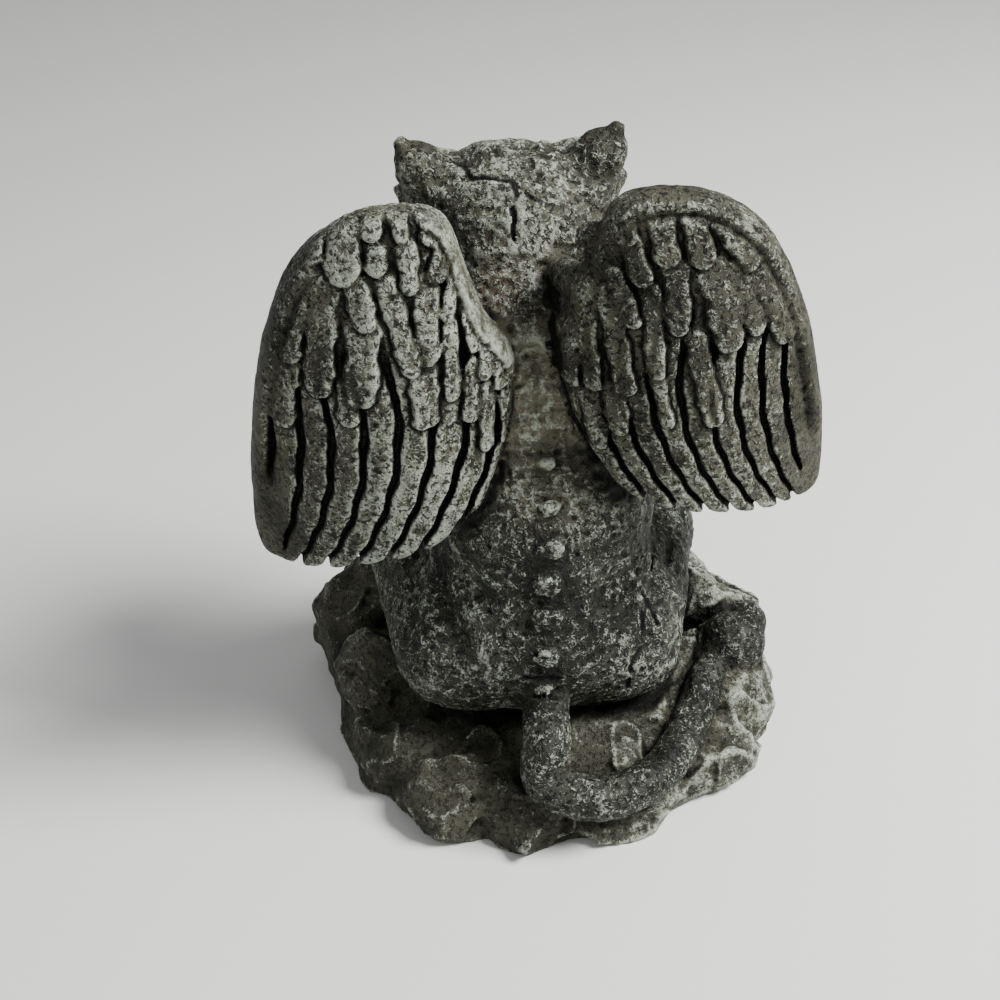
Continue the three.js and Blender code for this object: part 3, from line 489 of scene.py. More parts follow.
# %% Distance to one wing
def read_grid(grid, out, down):
    """Read a wing's grid between its points."""
    gx = np.clip((out + GRID_MARGIN) / GRID_STEP, 0, grid.shape[1] - 1.001)
    gy = np.clip((down + GRID_MARGIN) / GRID_STEP, 0, grid.shape[0] - 1.001)
    column, row = gx.astype(np.int32), gy.astype(np.int32)
    fx, fy = gx - column, gy - row
    upper = mix(grid[row, column], grid[row, column + 1], fx)
    lower = mix(grid[row + 1, column], grid[row + 1, column + 1], fx)
    return mix(upper, lower, fy)


def wing(grids, out, y, z, stretch):
    """Distance to one wing; the grids are read only close to the slab, for speed."""
    down = (wing_top_z - z) / stretch
    from_ridge = (out - ridge_out) / ridge_out
    from_middle = (down - 0.55 * WING_HEIGHT) / (0.52 * WING_HEIGHT)
    rear = wing_rear_y - SWEEP * from_ridge ** 2 - DROOP * from_middle ** 2
    steep = np.sqrt(1 + (2 * SWEEP * from_ridge / ridge_out) ** 2
                    + (4 * DROOP * from_middle / WING_HEIGHT) ** 2)
    behind = (y - rear) / steep
    beyond = np.maximum.reduce([-GRID_MARGIN - out, out - half_span - GRID_MARGIN,
                                -GRID_MARGIN - down, down - WING_HEIGHT - GRID_MARGIN])
    d = np.where(beyond > 0, beyond + 0.5 * GRID_MARGIN, 1e3)
    far = (behind > GRID_MARGIN) | (behind < -WING_THICKNESS - GRID_MARGIN)
    off_face = np.maximum(behind, -WING_THICKNESS - behind) - 0.6 * GRID_MARGIN
    d = np.where((beyond <= 0) & far, off_face, d)
    near = np.flatnonzero((beyond <= 0) & ~far)
    edge = read_grid(grids[0], out[near], down[near])
    height = read_grid(grids[1], out[near], down[near])
    rear_side = behind[near] - height
    front_side = -behind[near] - WING_THICKNESS - 0.35 * height
    d[near] = cut(np.maximum(rear_side, front_side), -edge, 2.2)
    return d


print("the wings reach", wing_rear_y, "mm behind the middle")

# %% [markdown]
# ## Rock
# The base is a low mound with boulders round its edge, low behind, where the tail crosses it. Each
# boulder is a lump trimmed by flat planes, the way a chisel leaves stone.

# %% Boulders
GOLDEN_ANGLE = math.pi * (3 - math.sqrt(5))  # spreads the cuts evenly over a boulder
boulders = []
# Direction and width in radians, and reach as a share, of the two places where the outline changes
WAIST = (0.15, 0.45, -0.12)
LOBE = (-0.5, 0.35, 0.09)
LOBE_RISE = 0.22  # how much higher the rock stands there


def bell_at(angle, middle, width):
    """1 at one direction, falling away to both sides."""
    off = math.atan2(math.sin(angle - middle), math.cos(angle - middle))
    return math.exp(-((off / width) ** 2))


for i in range(RIM_BOULDERS):
    angle = (i + 0.35 * uneven(i, 1)) / RIM_BOULDERS * 2 * math.pi
    rearward = max(math.sin(angle), 0)
    beside = abs(math.cos(angle)) * (1 - rearward)
    lobe = bell_at(angle, *LOBE[:2])
    height = SEAT_HEIGHT * (1.0 - 0.28 * rearward + 0.45 * beside ** 2 + LOBE_RISE * lobe
                            + 0.12 * uneven(i, 2))
    radius = 12.5 + 3 * uneven(i, 3)
    power = 2 if math.sin(angle) > 0 else 2.6
    to_edge = (abs(math.cos(angle) / (0.5 * BASE_WIDTH)) ** power
               + abs(math.sin(angle) / (0.5 * BASE_DEPTH)) ** power) ** (-1 / power)
    reach = to_edge * (1 + WAIST[2] * bell_at(angle, *WAIST[:2]) + LOBE[2] * lobe) - radius
    facets = []
    for k in range(BOULDER_FACETS):
        rise = 1 - 1.7 * (k + 0.5) / BOULDER_FACETS
        turn = GOLDEN_ANGLE * k + 2 * math.pi * uneven(i, 3)
        ring = math.sqrt(max(1 - rise * rise, 0))
        facets.append((ring * math.cos(turn), ring * math.sin(turn), rise, 0.86 + 0.2 * uneven(i, k + 20)))
    boulders.append(((reach * math.cos(angle), reach * math.sin(angle), 0.25 * height),
                     (radius, radius, 0.8 * height), facets))
mound, _ = lump((0, -1, 0), (0.45 * BASE_WIDTH, 0.46 * BASE_DEPTH, 1.15 * SEAT_HEIGHT), 2)


def rock(x, y, z):
    """Distance to the mound and its boulders, each worked out only where it is near enough to count."""
    d = mound(x, y, z)
    for at, radii, facets in boulders:
        px, py, pz = (x - at[0]) / radii[0], (y - at[1]) / radii[1], (z - at[2]) / radii[2]
        trimmed = np.sqrt(px * px + py * py + pz * pz) - 1
        near = np.flatnonzero(trimmed * min(radii) <= d + 1)
        cut_down = trimmed[near]
        for wx, wy, wz, limit in facets:
            cut_down = np.maximum(cut_down, px[near] * wx + py[near] * wy + pz[near] * wz - limit)
        d[near] = join(d[near], cut_down * min(radii), 0.9)
    return d


print(len(boulders), "boulders with", BOULDER_FACETS, "chisel cuts each")

# %% [markdown]
# ## Fine relief
# Cast stone from an old mould has three kinds of small relief: worm-like ridges with dark pits between
# them, a few round air holes, and thin cracks. Smooth noise gives the first, scattered points the
# second, and short grooves the third. All of it is mesh, so it catches the light from every side.

# %% Noise
LATTICE = 64
random_numbers = np.random.default_rng(11).random((5, LATTICE, LATTICE, LATTICE), dtype=np.float32)


def noise(x, y, z, size):
    """Smooth noise from -1 to 1 with bumps about the given number of millimetres apart."""
    low, high, share = [], [], []
    for v in (x, y, z):
        whole = np.floor(v / size)
        f = v / size - whole
        whole = whole.astype(np.int32)
        low.append(whole % LATTICE)
        high.append((whole + 1) % LATTICE)
        share.append(f * f * (3 - 2 * f))
    cube = random_numbers[0]
    near = mix(mix(cube[low[0], low[1], low[2]], cube[high[0], low[1], low[2]], share[0]),
               mix(cube[low[0], high[1], low[2]], cube[high[0], high[1], low[2]], share[0]), share[1])
    far = mix(mix(cube[low[0], low[1], high[2]], cube[high[0], low[1], high[2]], share[0]),
              mix(cube[low[0], high[1], high[2]], cube[high[0], high[1], high[2]], share[0]), share[1])
    return 2 * mix(near, far, share[2]) - 1


def holes(x, y, z, spacing, width):
    """1 at the middle of scattered round holes, falling to 0 at their rims."""
    cell = [np.floor(v / spacing - 0.5).astype(np.int32) for v in (x, y, z)]
    found = np.zeros_like(x)
    for di, dj, dk in np.ndindex(2, 2, 2):
        i, j, k = cell[0] + di, cell[1] + dj, cell[2] + dk
        at = (i % LATTICE, j % LATTICE, k % LATTICE)
        px = (i + 0.25 + 0.5 * random_numbers[1][at]) * spacing - x
        py = (j + 0.25 + 0.5 * random_numbers[2][at]) * spacing - y
        pz = (k + 0.25 + 0.5 * random_numbers[3][at]) * spacing - z
        reach = np.sqrt(px * px + py * py + pz * pz)
        radius = 0.5 * width * (0.5 + random_numbers[4][at])
        found = np.maximum(found, np.clip(1 - (reach / radius) ** 2, 0, 1))
    return found


def worms(x, y, z, size):
    """Ridges that wander like worm casts, from about -1 between them to 1 on top."""
    warp = 0.6 * size
    wx = x + warp * noise(x + 31, y, z, 2.1 * size)
    wy = y + warp * noise(x, y + 47, z, 2.1 * size)
    return 1 - 3.2 * np.abs(noise(wx, wy, z + 13, size))


sample = [np.linspace(0, 50, 4000, dtype=np.float32) for _ in range(3)]
print("worm relief runs from", round(float(worms(*sample, 1.9).min()), 2), "to",
      round(float(worms(*sample, 1.9).max()), 2))

# %% Cracks and slits
# Each runs through the listed places, in millimetres. They follow the cracks in the photo: picked there
# by eye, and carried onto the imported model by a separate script. They don't follow the sizes above.
cracks = [
    [(11.1, -7.5, 111.9), (9.4, -5.5, 111.1), (7.8, -1.9, 110.1), (3.7, -0.4, 110.5), (1.4, 0.6, 110)],
    [(1.4, 0.6, 110), (1.0, 2.6, 108.1)],
    [(1.7, 3.9, 106.6), (1.6, 5.2, 103.9), (1.5, 6.2, 101.2)],
    [(-0.5, 2.4, 108.3), (-2.4, 2.7, 107.4)],
    [(1.1, 6.5, 100.8), (-2.3, 6.5, 99.3)],
    [(-16.8, 19.8, 39.1), (-18.8, 20.3, 36.3), (-19.5, 21.2, 33.6)],
    [(-16.5, 21.6, 36.8), (-16.8, 23.5, 32.9)],
    [(-16.4, 24.3, 30.9), (-14.1, 25.3, 27.8), (-13.6, 24.4, 22.5)],
    [(4.2, 28.4, 29.6), (-1.0, 28.5, 28.5)],
    [(3.2, 29.3, 25.8), (-0.4, 30.0, 25.6)],
    [(2.5, 29.0, 34.5), (1.8, 28.7, 30.6)],
    [(-20.4, 12.0, 42.4), (-18.8, 14.8, 41.0)],
]


def crack_distance(x, y, z):
    """Distance to the nearest crack, each of which wanders a little from its line."""
    d = np.full_like(x, 1e3)
    wander = 0.5 * noise(x, y, z, 2.4)
    for line in cracks:
        for start, end in zip(line, line[1:]):
            distance, _ = limb(start, end, 0, 0, 1)
            d = np.minimum(d, distance(x + wander, y, z - wander))
    return d


print(sum(len(line) - 1 for line in cracks), "lengths of crack")


# %% The whole casting, without and with its fine relief
# A knob and a short ridge stand where the right wing leaves the back.
wing_root_knob, _ = lump((-9.8, 16.5, 105.2), (2.6, 2.8, 2.9), 1)
wing_root_ridge, _ = limb((-5.0, 4.5, 95.6), (-9.4, 20.0, 98.2), 3.0, 2.7, 1)


def pieces_at(x, y, z):
    """Distances to the figure, the tail, the wings and the rock, in millimetres."""
    sx, sy, sz = x / SHARE, y / SHARE, (z - SEAT_HEIGHT) / SHARE
    body = figure(sx, sy, sz)
    for distance, blend in spine:
        body = join(body, distance(sx, sy, sz), blend)
    body = body * SHARE
    curl = press(tail, sx, sy, sz) * SHARE
    wings = np.minimum(wing(left_wing, x, y, z, 1.0), wing(right_wing, -x, y, z, RIGHT_WING_DROP))
    wings = join(join(wings, wing_root_knob(x, y, z), 1.2), wing_root_ridge(x, y, z), 3.0)
    return body, curl, wings, rock(x, y, z)


def joined(body, curl, wings, stone):
    return join(join(join(body, curl, 1.2), wings, 1.6), stone, 1.4)


def fine_relief(x, y, z, body, curl, wings, stone):
    """Millimetres by which the surface stands out; the four distances say which part is nearest."""
    nearest = np.minimum.reduce([body, curl, wings, stone])
    on_body, on_curl, on_wings, on_stone = [
        smoothstep(1.2, 0.2, part - nearest) for part in (body, curl, wings, stone)]
    coarse = noise(x, y, z, 7.5)
    middle = noise(x, y, z, 3.4)
    ridges = np.clip(worms(x, y, z, 1.7), -1, 1)
    crooked = 0.5 * noise(y, z, x, 1.2)
    pits = holes(x + crooked, y - crooked, z + crooked, 2.1, 1.2)
    skin = 0.4 * coarse + 0.3 * middle + 0.2 * ridges - 0.35 * pits
    creases = 1 - np.abs(noise(z, x, y, 6.5)) * 5
    stone_face = (1.1 * coarse + 0.6 * middle + 0.6 * np.clip(creases, 0, 1) + 0.12 * ridges
                  - 0.15 * pits)
    tail_skin = 0.25 * middle + 0.08 * ridges - 0.5 * pits
    feather = 0.1 * middle + 0.05 * ridges - 0.4 * pits
    total = on_body + on_curl + on_wings + on_stone
    return (on_body * skin + on_curl * tail_skin + on_wings * feather + on_stone * stone_face) / total


# %% Folds, knobs and hollows
# Where each line runs, how wide it is and how high it stands, in millimetres. The places came about in
# the same way as those of the cracks.
fold_lines = [
    ([(7.8, 5.2, 99.7), (3.8, 6.5, 100.1), (0.5, 6.5, 100.6), (-2.9, 6.2, 99.3), (-6.2, 5.4, 97.0)],
     1.6, 0.5),
    ([(6.2, -8, 113.2), (5.0, -10, 113.4)], 2.0, 0.8),
    ([(-4.0, -8, 113.2), (-5.0, -11, 113.4)], 2.0, 0.8),
    ([(-0.5, -9, 113.4), (-1.5, -12, 113.4)], 1.6, 0.5),
    ([(-6.3, 8.9, 92.9), (-8.0, 8.0, 92.0)], 4.0, -1.5),
    ([(-35.6, 16.1, 12.2), (-35.9, 16.0, 12.0)], 1.6, 1.1),
    ([(-22.0, 4.5, 41.7), (-20.3, 12.5, 40.3), (-22.3, 13.0, 37.3), (-24.4, 14.0, 32.8)], 2.2, 0.9),
    ([(-20.9, 4.0, 42.8), (-18.0, 14.8, 42.9), (-17.0, 18.9, 39.6), (-13.4, 24.6, 34.2)], 2.0, 0.8),
    ([(15.2, 17.1, 50.7), (13.6, 19.3, 48.6), (10.9, 21.5, 48.1), (9.0, 23.1, 46.4)], 1.7, 0.8),
    ([(19.3, 9.9, 46.0), (19.9, 13.7, 41.1), (21.1, 17.5, 37.5), (18.9, 21.2, 36.4)], 2.0, 0.8),
    ([(13.2, 22.3, 40.2), (10.7, 25.7, 36.3), (11.9, 25.9, 34.3)], 2.8, 0.8),
    ([(17.2, 20.2, 39.1), (15.5, 24.6, 34.1)], 4.0, -1.2),
    ([(-10.6, 22.4, 45.1), (-9.2, 24.0, 41.2)], 3.5, -0.6),
    ([(1.9, 26.5, 42.2), (1.0, 27.9, 40.9), (-1.8, 27.3, 39.8), (-3.7, 25.8, 41.2)], 0.9, 0.4),
    ([(26.3, 17.6, 29.9), (21.5, 23.3, 26.0), (15.5, 24.9, 23.4)], 2.0, 0.6),
    ([(14.0, 34.9, 8.4), (15.6, 34.9, 8.0)], 1.3, -1.2),
]
swellings = [(limb(a, b, 0.3, 0.3, 1)[0], width, height)
             for line, width, height in fold_lines for a, b in zip(line, line[1:])]


def folds(x, y, z):
    """How far the folds lift or sink the surface."""
    up, down = np.zeros_like(x), np.zeros_like(x)
    for distance, width, height in swellings:
        rise = height * smoothstep(width, -0.3, distance(x, y, z))
        up, down = np.maximum(up, rise), np.minimum(down, rise)
    return up + down


print("fine relief ready, with", len(fold_lines), "folds and knobs")

# %% [markdown]
# ## From field to mesh
# Only grid points near the surface are worked out, because a full grid at this fineness would take
# minutes. Surface nets put one vertex in every grid cell that the surface crosses, which gives an even
# mesh of quads with no slivers.

# %% Sample the field on a fine grid near the surface
VOXEL = 0.42  # grid step in millimetres
BLOCK = 4  # grid steps along each side of a coarse block
BATCH = 60000
NEAR_MM = 2.2  # relief is worked out only this close to the plain surface
CRACK_DEPTH = 0.8
PLAIN_FOOT = 2.0  # relief fades out over this height, so that the underside stays flat
grid_low = np.array([-0.5 * max(BASE_WIDTH, WING_SPAN) - 5, -0.5 * BASE_DEPTH - 7, -2 * VOXEL])
grid_high = np.array([-grid_low[0], 0.5 * BASE_DEPTH + 9, wing_top_z + 9])
blocks = np.ceil((grid_high - grid_low) / (VOXEL * BLOCK)).astype(int)


def in_batches(function, points):
    """Work through many points a batch at a time, four batches side by side."""
    starts = range(0, len(points), BATCH)
    with ThreadPoolExecutor(4) as pool:
        done = pool.map(lambda i: function(*np.ascontiguousarray(points[i:i + BATCH].T)), starts)
        return np.concatenate(list(done), -1)


def plain_field(x, y, z):
    return joined(*pieces_at(x, y, z))


def carved_field(x, y, z):
    parts = pieces_at(x, y, z)
    d = joined(*parts)
    near = np.flatnonzero(np.abs(d) < NEAR_MM)
    close = [part[near] for part in parts]
    at = (x[near], y[near], z[near])
    groove = CRACK_DEPTH * smoothstep(0.7, 0.1, crack_distance(*at))
    rise = (fine_relief(*at, *close) + folds(*at)) * smoothstep(0.0, PLAIN_FOOT, at[2])
    d[near] = d[near] - rise + groove
    return np.maximum(d, -z)


block_centres = np.stack(np.meshgrid(*[np.arange(n) for n in blocks], indexing="ij"), -1)
block_points = (grid_low + (block_centres.reshape(-1, 3) + 0.5) * BLOCK * VOXEL).astype(np.float32)
block_values = in_batches(plain_field, block_points)
closed_values = np.maximum(block_values, -block_points[:, 2])
near_blocks = np.flatnonzero(np.abs(closed_values) < 0.9 * BLOCK * VOXEL + 1.6)
cells = np.stack(np.meshgrid(*[np.arange(BLOCK)] * 3, indexing="ij"), -1).reshape(-1, 3)
fine_index = (block_centres.reshape(-1, 3)[near_blocks][:, None] * BLOCK + cells).reshape(-1, 3)
values = closed_values.reshape(blocks)
for axis in range(3):
    values = np.repeat(values, BLOCK, axis=axis)
values[tuple(fine_index.T)] = in_batches(carved_field, (grid_low + fine_index * VOXEL).astype(np.float32))
print(len(fine_index), "points worked out after", round(time.time() - started), "s")


# %% Surface nets
def surface_net(values):
    """One vertex in each cell that the surface crosses, and a quad round each edge that crosses it."""
    shape = np.array(values.shape) - 1
    inside = values < 0
    edges = []
    for axis in range(3):
        ahead = np.moveaxis(inside, axis, 0)
        flips = np.moveaxis(ahead[:-1] != ahead[1:], 0, axis)
        start = np.argwhere(flips)
        unit = np.eye(3, dtype=int)[axis]
        a, b = values[tuple(start.T)], values[tuple((start + unit).T)]
        point = start + (a / (a - b))[:, None] * unit
        u, v = np.eye(3, dtype=int)[(axis + 1) % 3], np.eye(3, dtype=int)[(axis + 2) % 3]
        around = np.stack([start, start - u, start - u - v, start - v], 1)
        ok = ((around >= 0) & (around < shape)).all((1, 2))
        around = np.where((a < 0)[:, None, None], around, around[:, ::-1])
        edges.append((around[ok], point[ok]))
    around = np.concatenate([e[0] for e in edges])
    point = np.concatenate([e[1] for e in edges])
    keys = (around[..., 0] * shape[1] + around[..., 1]) * shape[2] + around[..., 2]
    used, vertex = np.unique(keys.ravel(), return_inverse=True)
    times = np.bincount(vertex)
    places = np.stack([np.bincount(vertex, np.repeat(point[:, c], 4)) / times for c in range(3)], 1)
    return places, vertex.reshape(-1, 4)


def largest_piece(count, quads):
    """Keep the quads of the biggest connected piece and drop pockets shut inside."""
    label = np.arange(count)
    while True:
        lowest = label[quads].min(1)
        new = label.copy()
        for corner in range(4):
            np.minimum.at(new, quads[:, corner], lowest)
        new = new[new]
        if (new == label).all():
            break
        label = new
    biggest = np.bincount(label).argmax()
    return quads[label[quads[:, 0]] == biggest]


places, quads = surface_net(values)
quads = largest_piece(len(places), quads)
kept, quads = np.unique(quads, return_inverse=True)
quads = quads.reshape(-1, 4)
places = grid_low + places[kept] * VOXEL
places[:, 2] = np.where(places[:, 2] < 0.4 * VOXEL, 0, places[:, 2])
print(len(places), "vertices and", len(quads), "quads after", round(time.time() - started), "s")

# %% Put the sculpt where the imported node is
node_middle = (Vector(node_low) + Vector(node_high)) / 2
sculpt_middle = (places.min(0) + places.max(0)) / 2
moved_by = np.array([node_middle.x / MM - sculpt_middle[0], node_middle.y / MM - sculpt_middle[1], 0])
places += moved_by
print("moved by", moved_by.round(2), "mm")

# %% [markdown]
# ## Where paint and dust settle, and where shade is painted
# A dry brush touches only what stands proud, and dust runs into hollows. The material also paints shade
# into hollows, pits, creases and closed-in places, darker than the wash. Comparing the surface with
# smoothed copies of itself says which is
# which: a little smoothing finds ridges and pits, more of it finds folds and creases. The numbers are
# stored on the vertices for the material to read.

# %% Neighbours and normals
at = places.astype(np.float32)
count = len(at)
pairs = np.unique(np.sort(np.concatenate([quads[:, [k, (k + 1) % 4]] for k in range(4)]), 1), axis=0)
ends = np.concatenate([pairs[:, 0], pairs[:, 1]])
others = np.concatenate([pairs[:, 1], pairs[:, 0]])
valence = np.maximum(np.bincount(ends, minlength=count), 1)
across = np.cross(at[quads[:, 2]] - at[quads[:, 0]], at[quads[:, 3]] - at[quads[:, 1]])
normals = np.stack([np.bincount(quads.ravel(), np.repeat(across[:, c], 4), minlength=count)
                    for c in range(3)], 1)
normals /= np.maximum(np.linalg.norm(normals, axis=1, keepdims=True), 1e-9)
print(len(pairs), "edges")


def spread(field, times):
    """Average a value over neighbouring vertices, the given number of times."""
    field = field.astype(float)
    for _ in range(times):
        for c in range(field.shape[1]):
            average = np.bincount(ends, field[others, c], minlength=count) / valence
            field[:, c] = 0.5 * field[:, c] + 0.5 * average
    return field


def height_over(smoothed):
    """How far each vertex stands out of a smoothed copy of the surface."""
    return ((at - smoothed) * normals).sum(1)


# %% Raised and hollow places
FINE_MM, MIDDLE_MM = 0.55, 1.5
fine_rounds, middle_rounds = [round((reach / VOXEL) ** 2 * 2.2) for reach in (FINE_MM, MIDDLE_MM)]
smoothed = spread(at, fine_rounds)
fine_height = height_over(smoothed)
middle_height = height_over(spread(smoothed, middle_rounds - fine_rounds))
for name, numbers in (("fine", fine_height), ("middle", middle_height)):
    print(name, "relief", np.percentile(numbers, [2, 20, 50, 80, 98]).round(3), "mm")


# %% How open each place is to the air, which sets the painted shade of closed-in places
def coarse_distance(points):
    """Distance to the surface, read between the middles of the coarse blocks."""
    step = BLOCK * VOXEL
    g = np.clip((points - grid_low) / step - 0.5, 0, np.array(blocks) - 1.001)
    whole = g.astype(int)
    f = g - whole
    grid = block_values.reshape(blocks)
    total = np.zeros(len(points))
    for corner in range(8):
        step_to = np.array([corner & 1, corner >> 1 & 1, corner >> 2])
        weight = np.where(step_to, f, 1 - f).prod(1)
        total += weight * grid[tuple((whole + step_to).T)]
    return total


openness = np.zeros(count)
for reach in (2.5, 5.0, 9.0):
    openness += np.clip(coarse_distance(at - moved_by + normals * reach) / reach, 0, 1) / 3
openness = spread(openness[:, None], 2)[:, 0]
print("openness from", round(float(np.percentile(openness, 2)), 2), "to", round(float(openness.max()), 2))

# %% Which part each place belongs to, where the brush went, and where light and shade are painted on
body_d, curl_d, wings_d, stone_d = in_batches(lambda *p: np.stack(pieces_at(*p)), at - moved_by)
nearest = np.minimum.reduce([body_d, curl_d, wings_d, stone_d])
x, y, z = (at - moved_by).T
on_wing = smoothstep(1.0, 0.2, wings_d - nearest)
on_rock = smoothstep(1.0, 0.2, stone_d - nearest)
on_tail = smoothstep(1.0, 0.2, curl_d - nearest)
figure_z = (z - SEAT_HEIGHT) / SHARE
outer_strip = smoothstep(38, 45, np.abs(x)) * on_wing
inner_left = smoothstep(34, 24, x) * smoothstep(2, 8, x) * on_wing * smoothstep(0, 8, y)
upper_back = smoothstep(15, 6, np.abs(x)) * smoothstep(34, 60, figure_z) * (1 - on_wing)
on_head = smoothstep(72, 80, figure_z) * (1 - on_wing)
along_spine = smoothstep(4.5, 3, np.abs(x)) * smoothstep(8, 11, figure_z) * smoothstep(56, 53, figure_z)
# This level also holds painted light and shade: the inner half of the left wing and the rock on the right
# are made paler as painted light, and the right wing darker as painted shade
brush_and_painted_light = 0.67 + sum(more * where for more, where in (
    (0.22, inner_left), (-0.3, outer_strip), (-0.11, on_wing * (x < 0)),
    (-0.17, on_rock), (0.45, smoothstep(0, -20, x) * on_rock), (-0.12, on_tail),
    (0.35, upper_back), (-0.05, along_spine * (normals[:, 1] > 0)),
    (-0.03, on_head), (-0.4, smoothstep(98, 100, figure_z))))  # the last is the very top
dust = 0.25 * on_rock + 0.95 * upper_back * (1 - on_head) + 0.3 * on_head + 0.3 * on_wing
rust = np.exp(-(((x - 6) / 4.5) ** 2 + ((z - 95) / 5) ** 2 + ((y - 8) / 9) ** 2))
smooth = np.clip(0.8 * upper_back * (1 - on_head) + 0.5 * on_rock + 0.2 * on_head
                 + 0.4 * outer_strip, 0, 1)
# Painted shadow in the grooves and creases between feathers, on faces turned to the rear, and in the
# cracks
gap = np.where(x > 0, read_grid(left_wing[2], x, wing_top_z - z),
               read_grid(right_wing[2], -x, (wing_top_z - z) / RIGHT_WING_DROP))
gap = gap * on_wing * smoothstep(-0.2, 0.2, normals[:, 1])
gap = np.maximum(gap, 0.7 * smoothstep(0.8, 0.2, crack_distance(x, y, z)))
fold = np.where(x > 0, read_grid(left_wing[3], x, wing_top_z - z), 0) * on_wing
brush_and_painted_light, smooth = brush_and_painted_light + 0.12 * fold, np.maximum(smooth, 0.8 * fold)
print("feathers cover", round(100 * float(on_wing.mean())), "% of the vertices")

# %% Store them
attributes = {
    "fine": np.clip(0.5 + fine_height / 0.3, 0, 1),
    "raised": np.clip(0.5 + middle_height / 1.0, 0, 1),
    "open_air": np.clip(openness, 0, 1),
    "brush_and_painted_light": np.clip(brush_and_painted_light, 0, 1),
    "dust": np.clip(dust, 0, 1),
    "rust": rust,
    "smooth": smooth,
    "gap": gap,
}
for name, numbers in attributes.items():
    print(name, "average", round(float(numbers.mean()), 2))


# %% Make the mesh, in seven pieces that share their borders and their normals
def mesh_from(name, places, faces):
    """A smooth mesh from places in millimetres and faces that all have as many corners."""
    mesh = bpy.data.meshes.new(name)
    corners = faces.shape[1]
    mesh.vertices.add(len(places))
    mesh.vertices.foreach_set("co", (places * MM).astype(np.float32).ravel())
    mesh.loops.add(faces.size)
    mesh.loops.foreach_set("vertex_index", faces.astype(np.int32).ravel())
    mesh.polygons.add(len(faces))
    mesh.polygons.foreach_set("loop_start", np.arange(0, faces.size, corners, dtype=np.int32))
    mesh.update(calc_edges=True)
    mesh.validate()
    mesh.polygons.foreach_set("use_smooth", np.ones(len(mesh.polygons), bool))
    return mesh


middle_of = (at - moved_by)[quads].mean(1)
TAIL, WINGS, ROCK = 1, 2, 3  # in the order of the distances below
kind_of = np.stack([body_d, curl_d, wings_d, stone_d])[:, quads[:, 0]].argmin(0)
NECK, WAIST_UP = 68, 28  # where the body is parted, in hundredths of the figure's height
low = (kind_of == ROCK) | (kind_of == TAIL)
height_up = (middle_of[:, 2] - SEAT_HEIGHT) / SHARE
piece_of = np.select(
    [(kind_of == WINGS) & (middle_of[:, 0] > 0), kind_of == WINGS, low & (middle_of[:, 1] > 0), low,
     height_up > NECK, height_up > WAIST_UP],
    list(range(6)), 6)
gargoyle_pieces = []
piece_names = ["left_wing", "right_wing", "rear_rock_and_tail", "front_rock", "head", "upper_body",
               "lower_body"]
for number, name in enumerate(piece_names):
    faces = quads[piece_of == number]
    used, faces = np.unique(faces, return_inverse=True)
    mesh = mesh_from("gargoyle_" + name, at[used], faces.reshape(-1, 4))
    for attribute, numbers in attributes.items():
        layer = mesh.attributes.new(attribute, "FLOAT", "POINT")
        layer.data.foreach_set("value", numbers[used].astype(np.float32))
    mesh.normals_split_custom_set_from_vertices(normals[used].tolist())
    piece = bpy.data.objects.new("gargoyle_" + name, mesh)
    bpy.context.scene.collection.objects.link(piece)
    gargoyle_pieces.append(piece)
    print(piece.name, 2 * len(mesh.polygons), "triangles")

# %% [markdown]
# ## Cast stone with its washes
# The real finish is three coats: near-black wash, pale grey-green dry brushing, and years of brown house
# dust in the hollows. Over these the material paints shade into hollows, pits, gaps and closed-in places,
# and paints light and shade from side to side into the dry brushing. Colours are written as they look on a
# screen and turned into linear light.


# %% One helper for colours and one for nodes
def linear(hex_text):
    channels = [int(hex_text[i:i + 2], 16) / 255 for i in (1, 3, 5)]
    return [c / 12.92 if c <= 0.04045 else ((c + 0.055) / 1.055) ** 2.4 for c in channels] + [1.0]


def add(tree, kind, wires, output=0, **settings):
    """Add one node, set it up, plug numbers or other nodes' sockets into it, and give its output."""
    node = tree.nodes.new(kind)
    for name, value in settings.items():
        setattr(node, name, value)
    for socket, value in wires.items():
        if isinstance(value, bpy.types.NodeSocket):
            tree.links.new(value, node.inputs[socket])
        else:
            node.inputs[socket].default_value = value
    return node.outputs[output] if node.outputs else None


print("black wash in linear light", [round(c, 3) for c in linear("#1a1b16")[:3]])

# %% Material: aged cast stone, black wash and pale dry brushing, with painted light and shade
# Cast stone isn't metallic, and the default IOR of 1.5 suits it. It gives the eye no mirror anywhere, only
# a broad faint sheen where the wash is bare.
cast_stone = bpy.data.materials.new("cast_stone_black_wash")
cast_stone.use_nodes = True
tree = cast_stone.node_tree
tree.nodes.clear()
place = add(tree, "ShaderNodeTexCoord", {}, "Object")
stored = {name: add(tree, "ShaderNodeAttribute", {}, "Fac", attribute_name=name) for name in attributes}
print("reads", ", ".join(stored))

# %% Patterns
# How far apart the marks are in millimetres, the finest detail in them and how crooked they are. Real
# stone dust is finer than a picture point, so the speckle is as coarse as it has to be to show.
pattern_table = {
    "clouds": (11.0, 4.0, 0.0), "patches": (4.5, 2.0, 0.0), "speckle": (0.5, 2.0, 0.0),
    "winding": (1.4, 1.5, 1.2), "pits": (0.85, 1.5, 0.6),
}
pattern = {
    name: add(tree, "ShaderNodeTexNoise", {"Vector": place, "Scale": 1 / (size_mm * MM), "Detail": detail,
                                           "Roughness": 0.6, "Distortion": crooked}, "Fac")
    for name, (size_mm, detail, crooked) in pattern_table.items()}
print(len(pattern), "patterns, from 0.5 to 11 mm")

